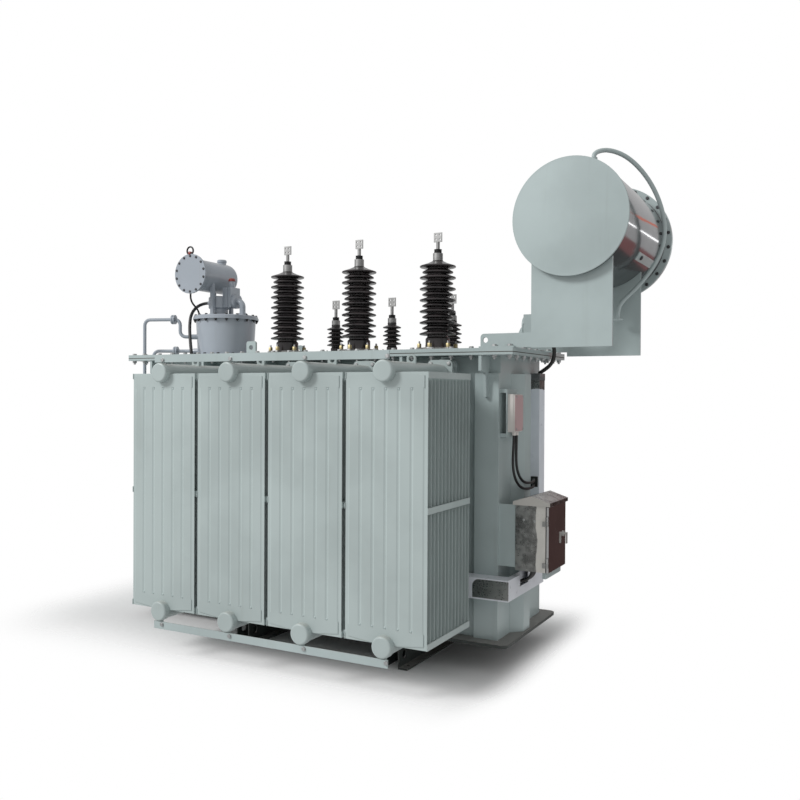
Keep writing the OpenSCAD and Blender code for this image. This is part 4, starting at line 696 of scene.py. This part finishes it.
# The conservator: a barrel rolled from sheet, with dished front end and bolted rear cover, in two saddles.
# The barrel is bright and mirrors the room; the rest is enamel, and a breather pipe loops from its top.
def bright_sheet(tone, rough):
    """Polished sheet: a mirror with slow waves from rolling and faint cloudy stains."""
    def build(s):
        cloud = s.noise(6.0, 4.0, 0.6)
        return s.surface(
            Base_Color=s.mix(cloud.rise(0.3, 0.7), tint(tone, 0.85), tint(tone)), Metallic=1.0,
            Roughness=cloud * 0.06 + rough,
            Normal=s.bump(s.noise(9.0, 1.0), 0.05, 0.004, s.soft_edges(0.0015)))

    return build


barrel_x, barrel_z, barrel_r = 1.643, 2.744, 0.340


def barrel_and_ring(s):
    """Polished sheet on the barrel, and enamel on the flange ring that stands out from it."""
    out = (s.along("X") - barrel_x) ** 2 + (s.along("Z") - barrel_z) ** 2
    ring = out.rise((barrel_r + 0.0015) ** 2, (barrel_r + 0.003) ** 2)
    return s.either(ring, bright_sheet((0.23, 0.23, 0.24), 0.09)(s), enamel(grey_green)(s))


dress(finish_of("bright_barrel_sheet", barrel_and_ring), "conservator_barrel")
dress(tank_paint, "conservator_rear_cover", "saddle_front_bracket", "saddle_rear_bracket", "gas_relay")

end_r, end_t, dish = 0.347, 0.014, 0.025
dish_r = np.linspace(end_r - 0.004, 0.0, 18)
dish_z = end_t + dish * (1 - (dish_r / dish_r[0]) ** 2)
rim = [(0, 0), (end_r - 0.002, 0), (end_r, 0.002), (end_r, end_t - 0.0015), (end_r - 0.0015, end_t)]
end_shape = turned(rim + list(zip(dish_r, dish_z)), 96)
end_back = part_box("conservator_front_end")[1].y
flat_paint = finish_of("flat_grey_green_enamel", enamel(grey_green, rough=0.6, dust=0.3, gloss=0.0))
dished_end = piece("dished_end", placed(end_shape, (barrel_x, end_back, barrel_z), (0, -1, 0)), flat_paint)
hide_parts("conservator_front_end")

rear_low, rear_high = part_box("conservator_rear_cover")
rear_x, rear_z = (rear_low.x + rear_high.x) / 2, (rear_low.z + rear_high.z) / 2
rear_bolt, rear_bolts, rear_bolt_r, rear_flange = 0.011, 24, 0.366, 0.018
piece("conservator_bolts", together(
    placed(bolt_head(rear_bolt), ring_of(
        rear_bolts, rear_bolt_r, (rear_x, rear_low.y - rear_flange, rear_z), (0, 2)), (0, -1, 0)),
    placed(nut_and_end(rear_bolt, 0.4), ring_of(
        rear_bolts, rear_bolt_r, (rear_x, rear_high.y, rear_z), (0, 2)), (0, 1, 0))), blued_steel)

breather_d, breather_sides = 0.027, 20
breather_start = np.array((1.753, -0.400, 3.096))
breather_points = breather_start + 0.001 * np.array([
    (0, 0, 0), (0, 0, 16), (8, 16, 34), (30, 46, 50), (75, 95, 58), (158, 178, 28), (246, 270, -74),
    (302, 367, -203), (320, 465, -345), (288, 530, -490), (205, 552, -620), (110, 552, -725), (35, 550, -790),
    (14, 550, -840), (12, 550, -900)])
breather_end_t = 0.010
breather_end = turned([(0, 0), (0.031, 0), (0.031, breather_end_t), (0.0135, breather_end_t)], 24)
breather = piece("breather_tube", together(
    round_tube(through(breather_points), breather_d, breather_sides),
    placed(breather_end, breather_points[-1] - [0, 0, breather_end_t])), tank_paint)
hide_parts("breather_pipe")


def curved_strap(radius, thick, around, along, rows=9):
    """Strip bent to a barrel: the four corners (r, y) of its section, turned about the barrel's axis."""
    r = np.array([radius, radius + thick, radius + thick, radius])
    y = np.array([along[0], along[0], along[1], along[1]])
    a = np.radians(np.linspace(around[0], around[1], rows))[:, None]
    grid = np.stack([np.cos(a) * r, np.ones_like(a) * y, np.sin(a) * r], -1)
    middle = np.repeat(grid.mean(1, keepdims=True), 4, 1)
    return skin(np.concatenate([middle[:1], grid, middle[-1:]]))


strap = curved_strap(0.3395, 0.007, around=(-37.0, -28.0), along=(-0.06, 0.44))
strap_bolt, strap_bolt_y, strap_face = 0.014, (0.02, 0.36), 0.3465
lean = math.radians(-32.5)
piece("barrel_strap", placed(strap, (rear_x, 0.0, rear_z)), tank_paint)
piece("barrel_strap_bolts", placed(bolt_head(strap_bolt), [
    (rear_x + strap_face * math.cos(lean), y, rear_z + strap_face * math.sin(lean)) for y in strap_bolt_y],
    (math.cos(lean), 0, math.sin(lean))), blued_steel)


# The control cabinet: folded stainless sheet with a gabled roof and a door on two knuckle hinges.
# It is bright from the mill, partly under a film, and stands on painted bracket plates.
def stainless(film, deep=0.17, light=0.38):
    """Mill-finish sheet with fine grain and cloudy stains, under a film where film gives 1, in its colour."""
    def build(s):
        stain = s.noise(14.0, 5.0, 0.65)
        spangle = s.node("TexVoronoi", {"feature": "F1"},
                         {"Vector": s.node("TexCoord", out="Object"), "Scale": 70.0}, out="Distance")
        grain = s.noise(300.0, 2.0, 0.5, (1.0, 1.0, 0.03))
        bare = s.surface(
            Base_Color=s.mix(stain.rise(0.36, 0.68), (deep, deep, deep * 0.97, 1.0),
                             (light, light, light * 0.97, 1.0)),
            Metallic=1.0, Roughness=stain * 0.16 + spangle * 0.12 + 0.16,
            Normal=s.bump(grain, 0.08, 0.0006, s.soft_edges(0.0015)))
        ragged = (s.noise(9.0, 3.0) - 0.5) * 0.04
        covered, pale = film(s, ragged)
        plastic = s.surface(
            Base_Color=s.mix(s.noise(7.0, 4.0), tint(pale, 0.8), tint(pale)),
            Roughness=s.noise(20.0) * 0.3 + 0.18,
            Normal=s.bump(s.noise(26.0, 3.0, 0.6, (1.0, 1.0, 0.3)), 0.3, 0.002))
        return s.either(covered, bare, plastic)

    return build


def faces_front(s):
    """1 on faces that look to the front, and 0 on all others."""
    return 1 - s.along("Y", "Normal").rise(-0.9, -0.6)


def side_film(s, ragged):
    """The film left on the outer third of the cabinet's side, warm white."""
    return (s.along("X") + ragged).rise(1.409, 1.415) * faces_front(s), (0.80, 0.78, 0.73)


def gable_film(s, ragged):
    """The film left on the roof's gable, warm white; it ends at the gable's own straight edges."""
    return faces_front(s), (0.62, 0.60, 0.56)


def plates_and_hinges(s):
    """Enamel on the plates by the tank, and bare steel on the hinge blocks at the cabinet's outer edge."""
    return s.either(s.along("X").rise(1.40, 1.41), enamel(grey_green)(s), plated((0.42, 0.42, 0.41), 0.3)(s))


dress(finish_of("stainless_side", stainless(side_film)), "cabinet_shell")
dress(finish_of("stainless_roof", stainless(gable_film)), "cabinet_roof")
dress(finish_of("bright_door_sheet", bright_sheet((0.50, 0.50, 0.50), 0.06)), "cabinet_door")
dress(finish_of("bracket_enamel_and_steel", plates_and_hinges), "cabinet_brackets")
dress(finish_of("plated_lock", plated((0.72, 0.71, 0.68), 0.18)), "door_lock")

cabinet_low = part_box("cabinet_shell")[0]
side_bolt, side_bolts = 0.008, ((1.331, 0.942), (1.402, 0.938))
piece("cabinet_side_bolts", placed(bolt_head(side_bolt), [(x, cabinet_low.y, z) for x, z in side_bolts],
                                   (0, -1, 0)), zinc)
fold = 0.12
rail_half, rail_sunk = (0.012, 0.150, 0.022), 0.0005
rail_at = (1.455, -0.220, cabinet_low.z - rail_half[2] + rail_sunk)
piece("cabinet_foot_rail", placed(pressed_block(rail_half, fold), rail_at), tank_paint)


# The wiring: a terminal box on its plate, trunking up the end wall and a tray round the corner.
# The box is painted; trunking and tray are folded stainless sheet, still partly under a pale blue film.
dress(finish_of("box_enamel", enamel((0.66, 0.63, 0.60), rough=0.4, dust=0.3)), "terminal_box")
dress(tank_paint, "terminal_box_bracket")


def trunking_film(s, ragged):
    """The film on the trunking, from its foot to below the cap, pale blue."""
    return 1 - (s.along("Z") + ragged).rise(1.735, 1.741), (0.80, 0.84, 0.90)


def tray_film(s, ragged):
    """The film on the tray, pale blue; it is peeled off the front run's face, with a round corner."""
    corner_x, corner_z, roundness = 1.088, 0.530, 22.0
    aside = s.math("MAXIMUM", corner_x - (s.along("X") + ragged * 0.2), 0.0) * roundness
    higher = s.math("MAXIMUM", s.along("Z") - corner_z, 0.0) * roundness
    peeled = 1 - (aside ** 2 + higher ** 2).rise(0.9, 1.1)
    front_face = (1 - s.along("Y").rise(-0.503, -0.500)) * s.along("Z").rise(0.460, 0.464)
    return 1 - peeled * front_face, (0.80, 0.83, 0.88)


dress(finish_of("trunking_film", stainless(trunking_film)), "vertical_trunking")
dress(finish_of("tray_film", stainless(tray_film, 0.30, 0.36)), "lower_tray")

lid_rose = finish_of("terminal_lid_enamel", enamel((0.50, 0.34, 0.345), rough=0.42, dust=0.2))
lid_face, lid_y, lid_z = 1.255, -0.2825, 1.592
lid_middle, lid_top = lid_face + 0.002, lid_face + 0.0055
lid = pressed_block((0.0045, 0.0665, 0.112), 0.14)
piece("terminal_box_lid", placed(lid, (lid_middle, lid_y, lid_z)), lid_rose)
screw, screw_y, screw_z = 0.006, 0.056, 0.100
piece("terminal_box_screws", placed(bolt_head(screw), [
    (lid_top, lid_y + i * screw_y, lid_z + k * screw_z) for i in (-1, 1) for k in (-1, 1)], (1, 0, 0)), zinc)

dark_cap = finish_of("dark_cap_enamel", enamel((0.10, 0.105, 0.11), rough=0.42, dust=0.3))
trunk_low, trunk_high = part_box("vertical_trunking")
cap = pressed_block((0.0345, 0.0565, 0.024), fold)
cap_at = (1.2025, 0.235, trunk_high.z - 0.018)
piece("trunking_cap", placed(cap, cap_at), dark_cap)
grommet = pressed_block((0.025, 0.002, 0.036), fold)
grommet_at = (1.200, trunk_low.y, 1.118)
piece("trunking_grommet", placed(grommet, grommet_at), sheath)


# The control cables: from the terminal box's glands round the end rib to the trunking, from the cabinet to
# the tray, and from the gas relay over the flange's edge to the trunking's cap. All have rubber sheaths.
terminal_cable_d, cabinet_cable_d, relay_cable_d = 0.017, 0.018, 0.026
cable("terminal_cable_1", [
    (1.233, -0.3065, 1.452), (1.233, -0.3065, 1.420), (1.233, -0.312, 1.380), (1.234, -0.322, 1.325),
    (1.236, -0.329, 1.270), (1.240, -0.322, 1.215), (1.246, -0.294, 1.165), (1.252, -0.240, 1.126),
    (1.256, -0.165, 1.106), (1.256, -0.080, 1.100), (1.249, 0.000, 1.099), (1.234, 0.066, 1.100),
    (1.216, 0.114, 1.101), (1.204, 0.146, 1.101), (1.200, 0.169, 1.101), (1.200, 0.181, 1.101)],
    terminal_cable_d, "control_cables")
cable("terminal_cable_2", [
    (1.233, -0.2585, 1.452), (1.233, -0.2585, 1.420), (1.234, -0.264, 1.375), (1.236, -0.272, 1.320),
    (1.239, -0.274, 1.268), (1.244, -0.262, 1.218), (1.251, -0.228, 1.175), (1.257, -0.172, 1.148),
    (1.260, -0.100, 1.138), (1.255, -0.020, 1.136), (1.240, 0.055, 1.135), (1.221, 0.107, 1.135),
    (1.206, 0.144, 1.135), (1.200, 0.169, 1.135), (1.200, 0.181, 1.135)],
    terminal_cable_d, "control_cables")

bend = 0.075
drop_x, drop_top, drop_bend_z = 1.348, 0.629, 0.617
quarter = np.radians(np.arange(0, 91, 15))
for k, y in enumerate((-0.283, -0.261, -0.239, -0.217)):
    drop = np.stack([drop_x - bend + bend * np.cos(quarter), 0 * quarter + y,
                     drop_bend_z - bend * np.sin(quarter)], 1)
    points = np.vstack([[(drop_x, y, drop_top)], drop])
    cable(f"cabinet_cable_{k + 1}", points, cabinet_cable_d, "control_cables")

cable("relay_cable", [
    (1.290, 0.058, 2.130), (1.298, 0.085, 2.127), (1.318, 0.130, 2.100), (1.331, 0.165, 2.050),
    (1.333, 0.186, 2.000), (1.325, 0.201, 1.955), (1.305, 0.213, 1.918), (1.276, 0.222, 1.891),
    (1.243, 0.229, 1.871), (1.212, 0.234, 1.852)], relay_cable_d)
